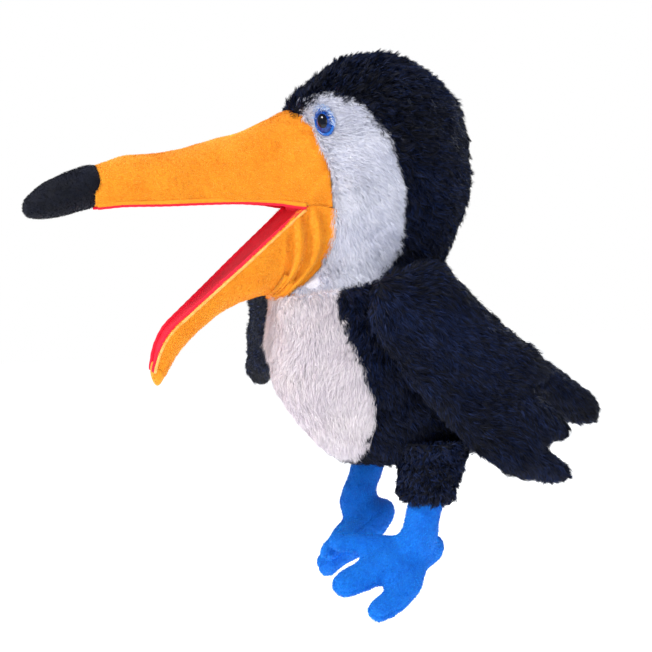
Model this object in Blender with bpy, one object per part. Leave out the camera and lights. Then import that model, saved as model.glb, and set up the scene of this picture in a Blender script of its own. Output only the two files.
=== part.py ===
"""Moving-mouth hand puppet in the form of a long-beaked bird.

Design frame, in millimetres: +Z up, the beak points to -Y, the bird's left is +X.
Every sub-part is its own closed solid. The model's origin is the centre of the
opening for the arm, at the lower back of the torso.
"""
import math

import bmesh
import bpy
from mathutils import Euler, Matrix, Vector

for _o in list(bpy.data.objects):
    bpy.data.objects.remove(_o, do_unlink=True)

MM = 0.001

# ---------------------------------------------------------------- driving dimensions
SKIN = 5.0            # plush with its batting
GAP = 0.4             # seam clearance between neighbouring pieces
LINING = 2.2          # thin lining fabric
FELT = 3.2            # short-pile beak fabric with interfacing
BOARD = 1.6           # mouth stiffener board
HEAD_YAW = -12.0      # degrees, the head is turned a little to the bird's right
NECK_PIVOT = (0.0, 30.0, 30.0)
NOD_PIVOT = (0.0, 36.0, 38.0)
JAW_PIVOT = (0.0, -20.0, 84.0)
JAW_DOWN = 42.5       # degrees below the horizontal, mouth open
TAIL_PIVOT = (0.0, 172.0, -41.0)
SHOULDER_X, SHOULDER_Y, SHOULDER_Z = 62.0, 5.0, 15.0
WING_FLARE_LEFT = 10.0
WING_FLARE_RIGHT = 74.0
WING_RAISE_RIGHT = 18.0
WING_THICK = 14.0
LEG_X, LEG_Y = 45.0, 60.0
HIP_Z_LEFT, HIP_Z_RIGHT = -112.0, -107.0
CUFF_R, CUFF_DROP = 20.0, 15.0
SHIN_R, SHIN_LENGTH = 12.0, 15.0
FOOT_LENGTH, FOOT_THICK = 84.0, 20.0

# torso rings from the neck to the arm opening: front point (y, z), back point (y, z), half width
TORSO = (
    (-36, 0, 93, 22, 51),
    (-43, -14, 106, 16, 60),
    (-38, -40, 122, 6, 65),
    (-28, -62, 137, -5, 66),
    (-12, -84, 149, -14, 64),
    (12, -97, 157, -24, 60),
    (48, -101, 162, -33, 54),
    (85, -100, 166, -43, 46),
)
# head rings: z, front y, back y, half width
HEAD = (
    (40, -12, 86, 45),
    (60, -15, 94, 52),
    (80, -18, 103, 56),
    (100, -20, 107, 58),
    (120, -24, 107, 58),
    (140, -26, 104, 56),
    (157, -25, 98, 50),
    (170, -14, 89, 43),
    (182, 0, 76, 32),
    (190, 16, 64, 20),
)
HEAD_TOP = 193.0
# upper beak: y, ridge z, mouth z, half width
BEAK = (
    (-9, 147, 87, 33),
    (-24, 149, 87, 32),
    (-38, 144, 88, 29.5),
    (-60, 135, 89, 27),
    (-88, 127, 88.5, 24.5),
    (-115, 121, 87.5, 22),
    (-143, 117.5, 87, 19.5),
    (-160, 112, 85.5, 17.5),
)
# lower beak: distance from the hinge, depth, half width
JAW = (
    (20, 28, 29),
    (35, 32, 28),
    (50, 32, 27),
    (60, 28, 26),
    (70, 21.5, 24),
    (84, 16.5, 22),
    (104, 14.8, 19.5),
    (124, 14.5, 17),
    (140, 13.5, 12.5),
    (150, 10.5, 8),
)
# wing outline in its own plane: distance behind the shoulder, height
WING = (
    (-2, 6), (2, 18), (12, 26), (38, 32), (64, 13), (89, -7), (114, -26), (127, -42), (122, -50),
    (110, -52), (128, -66), (143, -84), (141, -93), (123, -97), (133, -108), (142, -119), (128, -125),
    (92, -115), (60, -90), (30, -62), (4, -22), (-3, -6),
)
# tail outline in its own plane: distance behind the root, sideways
TAIL = (
    (4, 24), (22, 29), (45, 32), (62, 30), (71, 20), (66, 10), (75, 0), (66, -10), (71, -20),
    (62, -30), (45, -32), (22, -29), (4, -24),
)
# foot outline in its own plane: sideways (outwards positive), forwards from the ankle
FOOT = (
    (0, -20), (12, -17), (17, -5), (20, 10), (31, 26), (40, 44), (38, 54), (29, 55), (20, 42),
    (10, 32), (9, 44), (9, 60), (4, 68), (-4, 68), (-9, 60), (-9, 44), (-10, 32), (-19, 42),
    (-27, 52), (-35, 51), (-36, 42), (-28, 25), (-19, 10), (-17, -5), (-12, -17),
)

# ---------------------------------------------------------------- materials
PALETTE = {
    "black_plush": ((0.012, 0.016, 0.035), 0.95, 0.0),
    "white_plush": ((0.86, 0.85, 0.88), 0.9, 0.0),
    "orange_velboa": ((0.95, 0.42, 0.03), 0.75, 0.0),
    "black_velboa": ((0.010, 0.011, 0.020), 0.8, 0.0),
    "red_felt": ((0.80, 0.03, 0.07), 0.85, 0.0),
    "blue_velboa": ((0.01, 0.22, 0.85), 0.75, 0.0),
    "fibre_fill": ((0.90, 0.90, 0.88), 1.0, 0.0),
    "lining_cloth": ((0.030, 0.032, 0.045), 0.85, 0.0),
    "stiffener": ((0.55, 0.45, 0.32), 0.8, 0.0),
    "eye_plastic": ((0.01, 0.10, 0.55), 0.12, 0.0),
    "washer_plastic": ((0.80, 0.80, 0.78), 0.4, 0.0),
}


def material(piece, kind):
    colour, rough, metal = PALETTE[kind]
    mat = bpy.data.materials.new(piece + "_" + kind)
    mat.use_nodes = True
    shader = mat.node_tree.nodes["Principled BSDF"]
    shader.inputs["Base Color"].default_value = (*colour, 1.0)
    shader.inputs["Roughness"].default_value = rough
    shader.inputs["Metallic"].default_value = metal
    return mat


# ---------------------------------------------------------------- frames of the moving bodies
def empty(name, parent, location, rotation=None):
    e = bpy.data.objects.new(name, None)
    bpy.context.scene.collection.objects.link(e)
    e.parent = parent
    e.location = Vector(location) * MM
    if rotation is not None:
        e.rotation_euler = rotation
    return e


OPEN_Y = (TORSO[-1][0] + TORSO[-1][2]) / 2
OPEN_Z = (TORSO[-1][1] + TORSO[-1][3]) / 2
torso_e = empty("puppet_frame", None, (0, -OPEN_Y, -OPEN_Z))


def rel(a, b):
    return tuple(x - y for x, y in zip(a, b))


neck_e = empty("neck_axis", torso_e, NECK_PIVOT, Euler((0, 0, math.radians(HEAD_YAW))))
head_e = empty("nod_axis", neck_e, rel(NOD_PIVOT, NECK_PIVOT))
jaw_e = empty("jaw_axis", head_e, rel(JAW_PIVOT, NOD_PIVOT))
tail_e = empty("tail_axis", torso_e, TAIL_PIVOT, Euler((math.radians(-36), 0, 0)))
wing_l = empty("wing_left_axis", torso_e, (SHOULDER_X, SHOULDER_Y, SHOULDER_Z),
               Euler((0, 0, math.radians(-WING_FLARE_LEFT))))
wing_r = empty("wing_right_axis", torso_e, (-SHOULDER_X, SHOULDER_Y, SHOULDER_Z),
               Euler((math.radians(WING_RAISE_RIGHT), 0, math.radians(WING_FLARE_RIGHT))))
hip_l = empty("hip_left_axis", torso_e, (LEG_X, LEG_Y, HIP_Z_LEFT), Euler((math.radians(-16), 0, 0)))
hip_r = empty("hip_right_axis", torso_e, (-LEG_X, LEG_Y, HIP_Z_RIGHT), Euler((math.radians(-18), 0, 0)))


def foot_basis(side, roll, pitch):
    """Foot axes: sideways outwards, forwards and up, for a foot that hangs rolled outwards."""
    fwd = Vector((0, -math.cos(pitch), -math.sin(pitch)))
    out = Vector((side * math.cos(roll), 0.10, -math.sin(roll)))
    out = (out - fwd * out.dot(fwd)).normalized()
    up = fwd.cross(out) if side > 0 else out.cross(fwd)
    return out, fwd, up


# ---------------------------------------------------------------- mesh helpers
def lerp_row(table, t):
    i = min(int(t), len(table) - 2)
    f = t - i
    p0 = table[max(i - 1, 0)]
    p1, p2 = table[i], table[i + 1]
    p3 = table[min(i + 2, len(table) - 1)]
    out = []
    for a, b, c, d in zip(p0, p1, p2, p3):
        out.append(0.5 * (2 * b + (c - a) * f + (2 * a - 5 * b + 4 * c - d) * f * f
                          + (3 * b - a - 3 * c + d) * f ** 3))
    return out


def smooth_outline(points, per_span):
    """Closed Catmull-Rom curve through the points."""
    n, out = len(points), []
    for i in range(n):
        p0, p1, p2, p3 = (points[(i + k) % n] for k in (-1, 0, 1, 2))
        for s in range(per_span):
            f = s / per_span
            out.append(tuple(0.5 * (2 * b + (c - a) * f + (2 * a - 5 * b + 4 * c - d) * f * f
                                    + (3 * b - a - 3 * c + d) * f ** 3)
                             for a, b, c, d in zip(p0, p1, p2, p3)))
    return out


def finish(name, bm, parent, kind, smooth=True):
    bmesh.ops.recalc_face_normals(bm, faces=bm.faces)
    mesh = bpy.data.meshes.new(name)
    bm.to_mesh(mesh)
    bm.free()
    if smooth:
        mesh.shade_smooth()
        mesh.set_sharp_from_angle(angle=math.radians(45))
    obj = bpy.data.objects.new(name, mesh)
    bpy.context.scene.collection.objects.link(obj)
    obj.data.materials.append(material(name, kind))
    obj.parent = parent
    return obj


def shell(name, outer, inner, nu, nv, parent, kind, wrap=False, pivot=(0, 0, 0)):
    """Closed solid between two surface functions of (u, v) in 0..1; wrap joins it round u."""
    bm = bmesh.new()
    nu_pts = nu if wrap else nu + 1

    def grid(fn):
        return [[bm.verts.new(Vector(rel(fn(i / nu, j / nv), pivot)) * MM) for j in range(nv + 1)]
                for i in range(nu_pts)]

    o, n = grid(outer), grid(inner)
    spans = nu if wrap else nu
    for i in range(spans):
        k = (i + 1) % nu_pts
        for j in range(nv):
            bm.faces.new((o[i][j], o[k][j], o[k][j + 1], o[i][j + 1]))
            bm.faces.new((n[i][j], n[i][j + 1], n[k][j + 1], n[k][j]))
        bm.faces.new((o[i][0], n[i][0], n[k][0], o[k][0]))
        bm.faces.new((o[i][nv], o[k][nv], n[k][nv], n[i][nv]))
    if not wrap:
        for j in range(nv):
            bm.faces.new((o[0][j], o[0][j + 1], n[0][j + 1], n[0][j]))
            bm.faces.new((o[-1][j], n[-1][j], n[-1][j + 1], o[-1][j + 1]))
    return finish(name, bm, parent, kind)


def loft(name, rings, parent, kind, pivot=(0, 0, 0)):
    """Closed solid through rings of points, with a flat cap on each end."""
    bm = bmesh.new()
    rows = [[bm.verts.new(Vector(rel(p, pivot)) * MM) for p in ring] for ring in rings]
    m = len(rows[0])
    for a, b in zip(rows, rows[1:]):
        for i in range(m):
            k = (i + 1) % m
            bm.faces.new((a[i], a[k], b[k], b[i]))
    bm.faces.new(rows[0])
    bm.faces.new(rows[-1][::-1])
    return finish(name, bm, parent, kind)


def turned(name, profile, matrix, parent, kind, steps=16, pivot=(0, 0, 0)):
    """Closed solid of revolution: profile of (radius, height), first and last on the axis."""
    rings = []
    for r, h in profile:
        rings.append([tuple(matrix @ Vector((r * math.cos(2 * math.pi * k / steps),
                                             r * math.sin(2 * math.pi * k / steps), h)))
                      for k in range(steps)])
    return loft(name, rings, parent, kind, pivot)


def pad_half(name, outline, centre, place, parent, kind, thick, inset, lift):
    """Half of a stuffed panel: flat seam face, rounded outer face that narrows by inset."""
    cx, cy = centre
    levels = ((1.0, lift), (1.0 - inset * 0.25, thick * 0.45), (1.0 - inset, thick * 0.85),
              (1.0 - inset * 1.9, thick))
    rings = []
    for scale, h in levels:
        rings.append([place(cx + (x - cx) * scale, cy + (y - cy) * scale, h) for x, y in outline])
    return loft(name, rings, parent, kind)


# ---------------------------------------------------------------- torso surfaces
def torso_point(deg, t, depth):
    fy, fz, by, bz, w = lerp_row(TORSO, t)
    cy, cz = (fy + by) / 2, (fz + bz) / 2
    b = math.hypot(fy - by, fz - bz) / 2
    ey, ez = (fy - cy) / b, (fz - cz) / b
    a = math.radians(deg)
    return ((w - depth) * math.sin(a), cy + ey * (b - depth) * math.cos(a), cz + ez * (b - depth) * math.cos(a))


def sleeve_point(deg, t, depth):
    """Arm sleeve: a tube that keeps to the back of the torso and widens to the opening."""
    fy, fz, by, bz, w = lerp_row(TORSO, t)
    b = math.hypot(fy - by, fz - bz) / 2
    ey, ez = (fy - by) / (2 * b), (fz - bz) / (2 * b)
    k = t / 7.0
    sb = (36 + 8 * k) - depth
    sw = (33 + 5 * k) - depth
    off = (12 + (b - 44 - 12) * k ** 3 if t < 7 else b - 44) + 36 + 8 * k + (18 * (1 - k) ** 2)
    cy, cz = by + ey * off, bz + ez * off
    a = math.radians(deg)
    return (sw * math.sin(a), cy + ey * sb * math.cos(a), cz + ez * sb * math.cos(a))


def torso_panel(name, a0, a1, t0, t1, kind, nu, nv):
    return shell(name,
                 lambda u, v: torso_point(a0 + (a1 - a0) * u, t0 + (t1 - t0) * v, 0),
                 lambda u, v: torso_point(a0 + (a1 - a0) * u, t0 + (t1 - t0) * v, SKIN),
                 nu, nv, torso_e, kind)


torso_panel("belly_panel", -50, 50, 0, 4.92, "white_plush", 10, 9)
torso_panel("under_panel", -50, 50, 4.95, 7, "black_plush", 10, 4)
torso_panel("side_panel_left", 50.5, 144.5, 0, 7, "black_plush", 9, 12)
torso_panel("side_panel_right", -144.5, -50.5, 0, 7, "black_plush", 9, 12)
torso_panel("back_panel", 145, 215, 0, 7, "black_plush", 6, 12)
shell("arm_sleeve", lambda u, v: sleeve_point(360 * u, 7 * v, 0),
      lambda u, v: sleeve_point(360 * u, 7 * v, LINING), 20, 8, torso_e, "lining_cloth", wrap=True)
shell("belly_stuffing",
      lambda u, v: torso_point(-95 + 190 * u, 0.35 + 6.2 * v, SKIN + 1.8),
      lambda u, v: sleeve_point(-78 + 156 * u, 0.35 + 6.2 * v, -1.0), 12, 9, torso_e, "fibre_fill")


def hem_point(deg, h, depth):
    """Band round the arm opening, square to the opening's plane."""
    fy, fz, by, bz, w = TORSO[-1]
    cy, cz = (fy + by) / 2, (fz + bz) / 2
    b = math.hypot(fy - by, fz - bz) / 2
    ey, ez = (fy - cy) / b, (fz - cz) / b
    ny, nz = -ez, ey          # out of the opening, backwards and down
    if nz > 0:
        ny, nz = -ny, -nz
    a = math.radians(deg)
    return ((w - depth) * math.sin(a), cy + ey * (b - depth) * math.cos(a) + ny * h,
            cz + ez * (b - depth) * math.cos(a) + nz * h)


shell("opening_hem", lambda u, v: hem_point(360 * u, GAP + 5 * v, 0.5),
      lambda u, v: hem_point(360 * u, GAP + 5 * v, 9.0), 24, 1, torso_e, "lining_cloth", wrap=True)

# ---------------------------------------------------------------- neck
shell("neck_sleeve",
      lambda u, v: (33 * math.sin(2 * math.pi * u), 32 - 36 * math.cos(2 * math.pi * u), 26.5 + 11 * v),
      lambda u, v: (30.5 * math.sin(2 * math.pi * u), 32 - 33.5 * math.cos(2 * math.pi * u), 26.5 + 11 * v),
      20, 1, neck_e, "lining_cloth", wrap=True, pivot=NECK_PIVOT)


# ---------------------------------------------------------------- head
def head_point(deg, z, depth):
    t = 0.0
    zs = [r[0] for r in HEAD]
    z = max(min(z, zs[-1]), zs[0])
    for i in range(len(zs) - 1):
        if z <= zs[i + 1]:
            t = i + (z - zs[i]) / (zs[i + 1] - zs[i])
            break
    i = min(int(t), len(HEAD) - 2)
    f = t - i
    _, fy, by, w = [a + (b - a) * f for a, b in zip(HEAD[i], HEAD[i + 1])]
    a = math.radians(deg)
    cy, b = (fy + by) / 2, (by - fy) / 2
    return ((w - depth) * math.sin(a), cy - (b - depth) * math.cos(a), z)


def head_panel(name, a0, a1, z0, z1, kind, nu, nv, drop=0.0):
    return shell(name,
                 lambda u, v: head_point(a0 + (a1 - a0) * u, z0 + (z1 - z0) * v, 0),
                 lambda u, v: head_point(a0 + (a1 - a0) * u, z0 + (z1 - z0) * v, SKIN),
                 nu, nv, head_e, kind, pivot=NOD_PIVOT)


FACE_TOP = 157.0
face_l = head_panel("face_panel_left", 37, 88, 52, FACE_TOP, "white_plush", 6, 7)
face_r = head_panel("face_panel_right", -88, -37, 52, FACE_TOP, "white_plush", 6, 7)
head_panel("hood_panel_left", 88.6, 179.7, 52, FACE_TOP, "black_plush", 8, 7)
head_panel("hood_panel_right", 180.3, 271.4, 52, FACE_TOP, "black_plush", 8, 7)
crown = [FACE_TOP + GAP, 164, 170, 176, 182, 187, 190]


def dome(z_list, depth, top):
    rings = [[head_point(360 * k / 24, z, depth) for k in range(24)] for z in z_list]
    last = rings[-1]
    cy = sum(p[1] for p in last) / len(last)
    rings.append([(p[0] * 0.45, cy + (p[1] - cy) * 0.45, top) for p in last])
    return rings


crown_rings = dome(crown, 0, HEAD_TOP)
inner_rings = dome([FACE_TOP + GAP, 164, 170, 176, 182], SKIN, 186.0)
bm = bmesh.new()
out_v = [[bm.verts.new(Vector(rel(p, NOD_PIVOT)) * MM) for p in ring] for ring in crown_rings]
in_v = [[bm.verts.new(Vector(rel(p, NOD_PIVOT)) * MM) for p in ring] for ring in inner_rings]
for rows in (out_v, in_v):
    for a, b in zip(rows, rows[1:]):
        for i in range(24):
            bm.faces.new((a[i], a[(i + 1) % 24], b[(i + 1) % 24], b[i]))
    bm.faces.new(rows[-1])
for i in range(24):
    k = (i + 1) % 24
    bm.faces.new((out_v[0][i], in_v[0][i], in_v[0][k], out_v[0][k]))
finish("crown_panel", bm, head_e, "black_plush")
loft("crown_stuffing", [[head_point(360 * k / 20, z, d) for k in range(20)]
                        for z, d in ((149, 19), (152, 13), (158.5, SKIN + 2.5), (165, SKIN + 1.2), (175, SKIN + 1.8),
                                     (181, SKIN + 2.6))],
     head_e, "fibre_fill", pivot=NOD_PIVOT)


def palm_point(u, z, grow):
    a = math.radians(62 + 236 * u)
    return ((34 + grow) * math.sin(a), 36 - (36 + grow) * math.cos(a), z)


shell("palm_lining", lambda u, v: palm_point(u, 52 + 68 * v, 0), lambda u, v: palm_point(u, 52 + 68 * v, -LINING),
      16, 3, head_e, "lining_cloth", pivot=NOD_PIVOT)


# ---------------------------------------------------------------- upper beak
def beak_row(t):
    return lerp_row(BEAK, t)


def beak_point(u, t, depth):
    """Over the beak from one mouth edge to the other, u 0..1."""
    y, ridge, mouth, w = beak_row(t)
    a = math.pi * u
    c, s = math.cos(a), math.sin(a)
    px = math.copysign(abs(c) ** 0.8, c) * (w - depth)
    pz = mouth + s ** 0.85 * (ridge - depth - mouth)
    return (px, y, pz)


shell("upper_beak_cover", lambda u, v: beak_point(u, 7 * v, 0),
      lambda u, v: beak_point(u, 7 * v, FELT), 12, 9, head_e, "orange_velboa", pivot=NOD_PIVOT)


def beak_plate(name, t0, t1, z0, z1, margin, kind, steps):
    bm = bmesh.new()
    rows = []
    for j in range(steps + 1):
        y, _, mouth, w = beak_row(t0 + (t1 - t0) * j / steps)
        h = w - margin
        rows.append([bm.verts.new(Vector(rel(p, NOD_PIVOT)) * MM) for p in
                     ((-h, y, mouth + z0), (h, y, mouth + z0), (h, y, mouth + z1), (-h, y, mouth + z1))])
    for a, b in zip(rows, rows[1:]):
        for i in range(4):
            bm.faces.new((a[i], a[(i + 1) % 4], b[(i + 1) % 4], b[i]))
    bm.faces.new(rows[0])
    bm.faces.new(rows[-1][::-1])
    return finish(name, bm, head_e, kind, smooth=False)


beak_plate("palate_lining", 1.15, 6.97, 0.0, LINING, FELT + 0.5, "red_felt", 7)
beak_plate("upper_mouth_board", 1.4, 6.7, LINING + GAP, LINING + GAP + BOARD, FELT + 1.8, "stiffener", 6)


def arch(row, margin, floor, n=11):
    y, ridge, mouth, w = row
    pts = []
    for k in range(n):
        a = math.pi * k / (n - 1)
        c, s = math.cos(a), math.sin(a)
        pts.append((math.copysign(abs(c) ** 0.8, c) * (w - margin), y,
                    mouth + floor + s ** 0.85 * (ridge - margin - mouth - floor)))
    return pts


loft("beak_stuffing", [arch(beak_row(t), FELT + 1.4, 6.5) for t in (4.35, 5.0, 6.0, 6.9)], head_e, "fibre_fill",
     pivot=NOD_PIVOT)


def pocket_point(u, t, grow):
    """Finger pocket: a soft arch over the mouth board."""
    y, ridge, mouth, w = beak_row(t)
    a = math.pi * u
    c, s = math.cos(a), math.sin(a)
    top = min(ridge - mouth - FELT - 10.0, 30.0)
    return (math.copysign(abs(c) ** 0.8, c) * (w - FELT - 3.0 - grow), y, mouth + 5.2 + s ** 0.85 * (top - grow))


shell("finger_pocket", lambda u, v: pocket_point(u, 1.45 + 2.75 * v, 0),
      lambda u, v: pocket_point(u, 1.45 + 2.75 * v, LINING), 10, 4, head_e, "lining_cloth", pivot=NOD_PIVOT)

tip_rows = (
    (-160.4, 111.6, 85.6, 17.3), (-168, 109.8, 82.5, 17.5), (-178, 107.6, 79.6, 17.0), (-190, 103, 77, 15.0),
    (-200, 96.5, 76.5, 11.5), (-206, 90, 79, 6.5),
)
tip_rings = []
for y, top, low, w in tip_rows:
    mid, h = (top + low) / 2, (top - low) / 2
    tip_rings.append([(w * math.cos(2 * math.pi * k / 14), y, mid + h * math.sin(2 * math.pi * k / 14))
                      for k in range(14)])
loft("beak_tip", tip_rings, head_e, "black_velboa", pivot=NOD_PIVOT)

# ---------------------------------------------------------------- lower beak
JD = (-math.cos(math.radians(JAW_DOWN)), -math.sin(math.radians(JAW_DOWN)))   # along the jaw, (y, z)
JN = (-JD[1], JD[0])                                                          # towards its underside
if JN[1] > 0:
    JN = (-JN[0], -JN[1])


def jaw_droop(s):
    """How far the last part of the jaw hangs below its straight line."""
    return 0.0 if s < 118.0 else 0.0125 * (s - 118.0) ** 2


def jaw_place(x, s, d):
    d += jaw_droop(s)
    return (x, JAW_PIVOT[1] + JD[0] * s + JN[0] * d, JAW_PIVOT[2] + JD[1] * s + JN[1] * d)


def jaw_point(u, t, depth):
    s, deep, w = lerp_row(JAW, t)
    a = math.pi * u
    c, q = math.cos(a), math.sin(a)
    return jaw_place(math.copysign(abs(c) ** 0.75, c) * (w - depth), s, 1.0 + q ** 0.8 * (deep - 1.0 - depth))


shell("lower_beak_cover", lambda u, v: jaw_point(u, 9 * v, 0),
      lambda u, v: jaw_point(u, 9 * v, FELT), 12, 14, jaw_e, "orange_velboa", pivot=JAW_PIVOT)


def jaw_plate(name, t0, t1, d0, d1, margin, kind, steps):
    bm = bmesh.new()
    rows = []
    for j in range(steps + 1):
        s, _, w = lerp_row(JAW, t0 + (t1 - t0) * j / steps)
        h = w - margin
        rows.append([bm.verts.new(Vector(rel(jaw_place(x, s, d), JAW_PIVOT)) * MM)
                     for x, d in ((-h, d0), (h, d0), (h, d1), (-h, d1))])
    for a, b in zip(rows, rows[1:]):
        for i in range(4):
            bm.faces.new((a[i], a[(i + 1) % 4], b[(i + 1) % 4], b[i]))
    bm.faces.new(rows[0])
    bm.faces.new(rows[-1][::-1])
    return finish(name, bm, jaw_e, kind, smooth=False)


jaw_plate("jaw_lining", 0.0, 8.5, 1.0, 1.0 + LINING, FELT + 0.9, "red_felt", 12)
jaw_plate("lower_mouth_board", 0.1, 7.8, 1.0 + LINING + GAP, 1.0 + LINING + GAP + BOARD, FELT + 2.4, "stiffener", 11)


def thumb_point(u, t, grow):
    s, deep, w = lerp_row(JAW, t)
    a = math.pi * u
    c, q = math.cos(a), math.sin(a)
    return jaw_place(math.copysign(abs(c) ** 0.75, c) * (w - FELT - 3.0 - grow), s,
                     6.4 + q ** 0.8 * (min(deep - FELT - 2.0, 25.0) - 6.4 - grow))


shell("thumb_pocket", lambda u, v: thumb_point(u, 0.06 + 2.5 * v, 0),
      lambda u, v: thumb_point(u, 0.06 + 2.5 * v, LINING), 10, 4, jaw_e, "lining_cloth", pivot=JAW_PIVOT)


# ---------------------------------------------------------------- cheek gussets below the mouth corners
def gusset(name, side):
    outline = [(-9, 80), (-13, 80), (-13, 66), (-12, 55), (-8, 55), (-8, 68)]
    rings = [[(side * x, y, z) for y, z in outline] for x in (26.0, 29.5)]
    return loft(name, rings, head_e, "orange_velboa", pivot=NOD_PIVOT)


gusset("cheek_gusset_left", 1)
gusset("cheek_gusset_right", -1)


# ---------------------------------------------------------------- eyes
def eye(side):
    deg, z = 43.0, 141.0
    p = Vector(head_point(side * deg, z, 0))
    q = Vector(head_point(side * (deg + 2), z, 0)) - Vector(head_point(side * (deg - 2), z, 0))
    r = Vector(head_point(side * deg, z + 3, 0)) - Vector(head_point(side * deg, z - 3, 0))
    n = q.cross(r).normalized()
    if n.x * side < 0:
        n = -n
    zaxis = n
    xaxis = q.normalized()
    yaxis = zaxis.cross(xaxis)
    m = Matrix((xaxis, yaxis, zaxis)).transposed().to_4x4()
    m.translation = p
    return m


def eye_pieces(side, tag, panel):
    m = eye(side)
    hole = turned("hole_" + tag, ((3.4, -9.0), (3.4, 4.0)), m, head_e, "eye_plastic", 14, NOD_PIVOT)
    hole.hide_render = True
    hole.display_type = "WIRE"
    cut = panel.modifiers.new("eye_hole", "BOOLEAN")
    cut.operation = "DIFFERENCE"
    cut.solver = "EXACT"
    cut.object = hole
    turned("eye_" + tag, ((2.9, -8.6), (2.9, 0.9), (8.2, 0.9), (8.6, 1.8), (7.9, 3.9), (5.6, 5.7), (2.4, 6.6)),
           m, head_e, "eye_plastic", 18, NOD_PIVOT)
    ring = [((3.3 if k == 0 else 8.0) if k < 2 else (8.0 if k == 2 else 3.3), -8.4 if k in (1, 0) else -6.8)
            for k in range(4)]
    bm = bmesh.new()
    steps = 16
    rows = []
    for r, h in ring:
        rows.append([bm.verts.new((m @ Vector((r * math.cos(2 * math.pi * k / steps),
                                               r * math.sin(2 * math.pi * k / steps), h))
                                   - Vector(NOD_PIVOT)) * MM) for k in range(steps)])
    for j in range(4):
        a, b = rows[j], rows[(j + 1) % 4]
        for i in range(steps):
            bm.faces.new((a[i], a[(i + 1) % steps], b[(i + 1) % steps], b[i]))
    finish("eye_washer_" + tag, bm, head_e, "washer_plastic")


eye_pieces(1, "left", face_l)
eye_pieces(-1, "right", face_r)

# ---------------------------------------------------------------- wings
wing_outline = smooth_outline(WING, 2)
for tag, side, frame in (("left", 1, wing_l), ("right", -1, wing_r)):
    pad_half("wing_outer_" + tag, wing_outline, (62, -42),
             lambda r, z, h, s=side: (s * (7.2 + h), r, z), frame, "black_plush", WING_THICK / 2, 0.09, 0.0)
    pad_half("wing_lining_" + tag, wing_outline, (62, -42),
             lambda r, z, h, s=side: (s * (6.8 - h), r, z), frame, "black_plush", WING_THICK / 2 - 0.4, 0.09, 0.0)

# ---------------------------------------------------------------- tail
tail_outline = smooth_outline(TAIL, 2)


def tail_place(sign):
    def place(r, x, h):
        droop = 0.0
        return (x, r, sign * (h + 0.2) - droop)
    return place


pad_half("tail_upper", tail_outline, (38, 0), tail_place(1), tail_e, "black_plush", 9.0, 0.12, 0.0)
pad_half("tail_under", tail_outline, (38, 0), tail_place(-1), tail_e, "black_plush", 9.0, 0.12, 0.0)

# ---------------------------------------------------------------- legs and feet
foot_outline = smooth_outline(FOOT, 2)
for tag, side, hip, roll, pitch in (("left", 1, hip_l, 40, 16), ("right", -1, hip_r, 34, 34)):
    cuff = []
    for r, h in ((7.0, 15.2), (12.0, 11.5), (16.0, 5.0), (18.5, -1.0), (CUFF_R, -7.0), (CUFF_R, -CUFF_DROP)):
        cuff.append([(r * math.cos(2 * math.pi * k / 18), r * math.sin(2 * math.pi * k / 18), h) for k in range(18)])
    loft("leg_cuff_" + tag, cuff, hip, "black_plush")
    shin = []
    for r, h in ((SHIN_R + 1.0, -CUFF_DROP - GAP), (SHIN_R, -CUFF_DROP - 8.0), (SHIN_R, -CUFF_DROP - SHIN_LENGTH)):
        shin.append([(r * math.cos(2 * math.pi * k / 16), r * math.sin(2 * math.pi * k / 16), h) for k in range(16)])
    loft("shin_" + tag, shin, hip, "blue_velboa")
    tilt = hip.rotation_euler.x
    down = CUFF_DROP + SHIN_LENGTH + 7.0
    hx, hz = side * LEG_X, (HIP_Z_LEFT if side > 0 else HIP_Z_RIGHT)
    ankle = (hx, LEG_Y - down * math.sin(-tilt), hz - down * math.cos(tilt))
    out, fwd, up = foot_basis(side, math.radians(roll), math.radians(pitch))
    ankle_e = empty("ankle_%s_axis" % tag, torso_e, ankle)

    def foot_place(sign, o=out, f=fwd, n=up):
        def place(x, y, h):
            lift = sign * (h + 0.2) - 19.0
            return tuple(o * x + f * (y + 2.0) + n * lift)
        return place

    pad_half("foot_upper_" + tag, foot_outline, (0, 14), foot_place(1), ankle_e, "blue_velboa", 9.0, 0.13, 0.0)
    pad_half("foot_sole_" + tag, foot_outline, (0, 14), foot_place(-1), ankle_e, "blue_velboa", 8.0, 0.13, 0.0)

bpy.context.view_layer.update()
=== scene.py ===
import math
import bpy
import bmesh
import numpy as np
from mathutils import Matrix, Vector, kdtree


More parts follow.
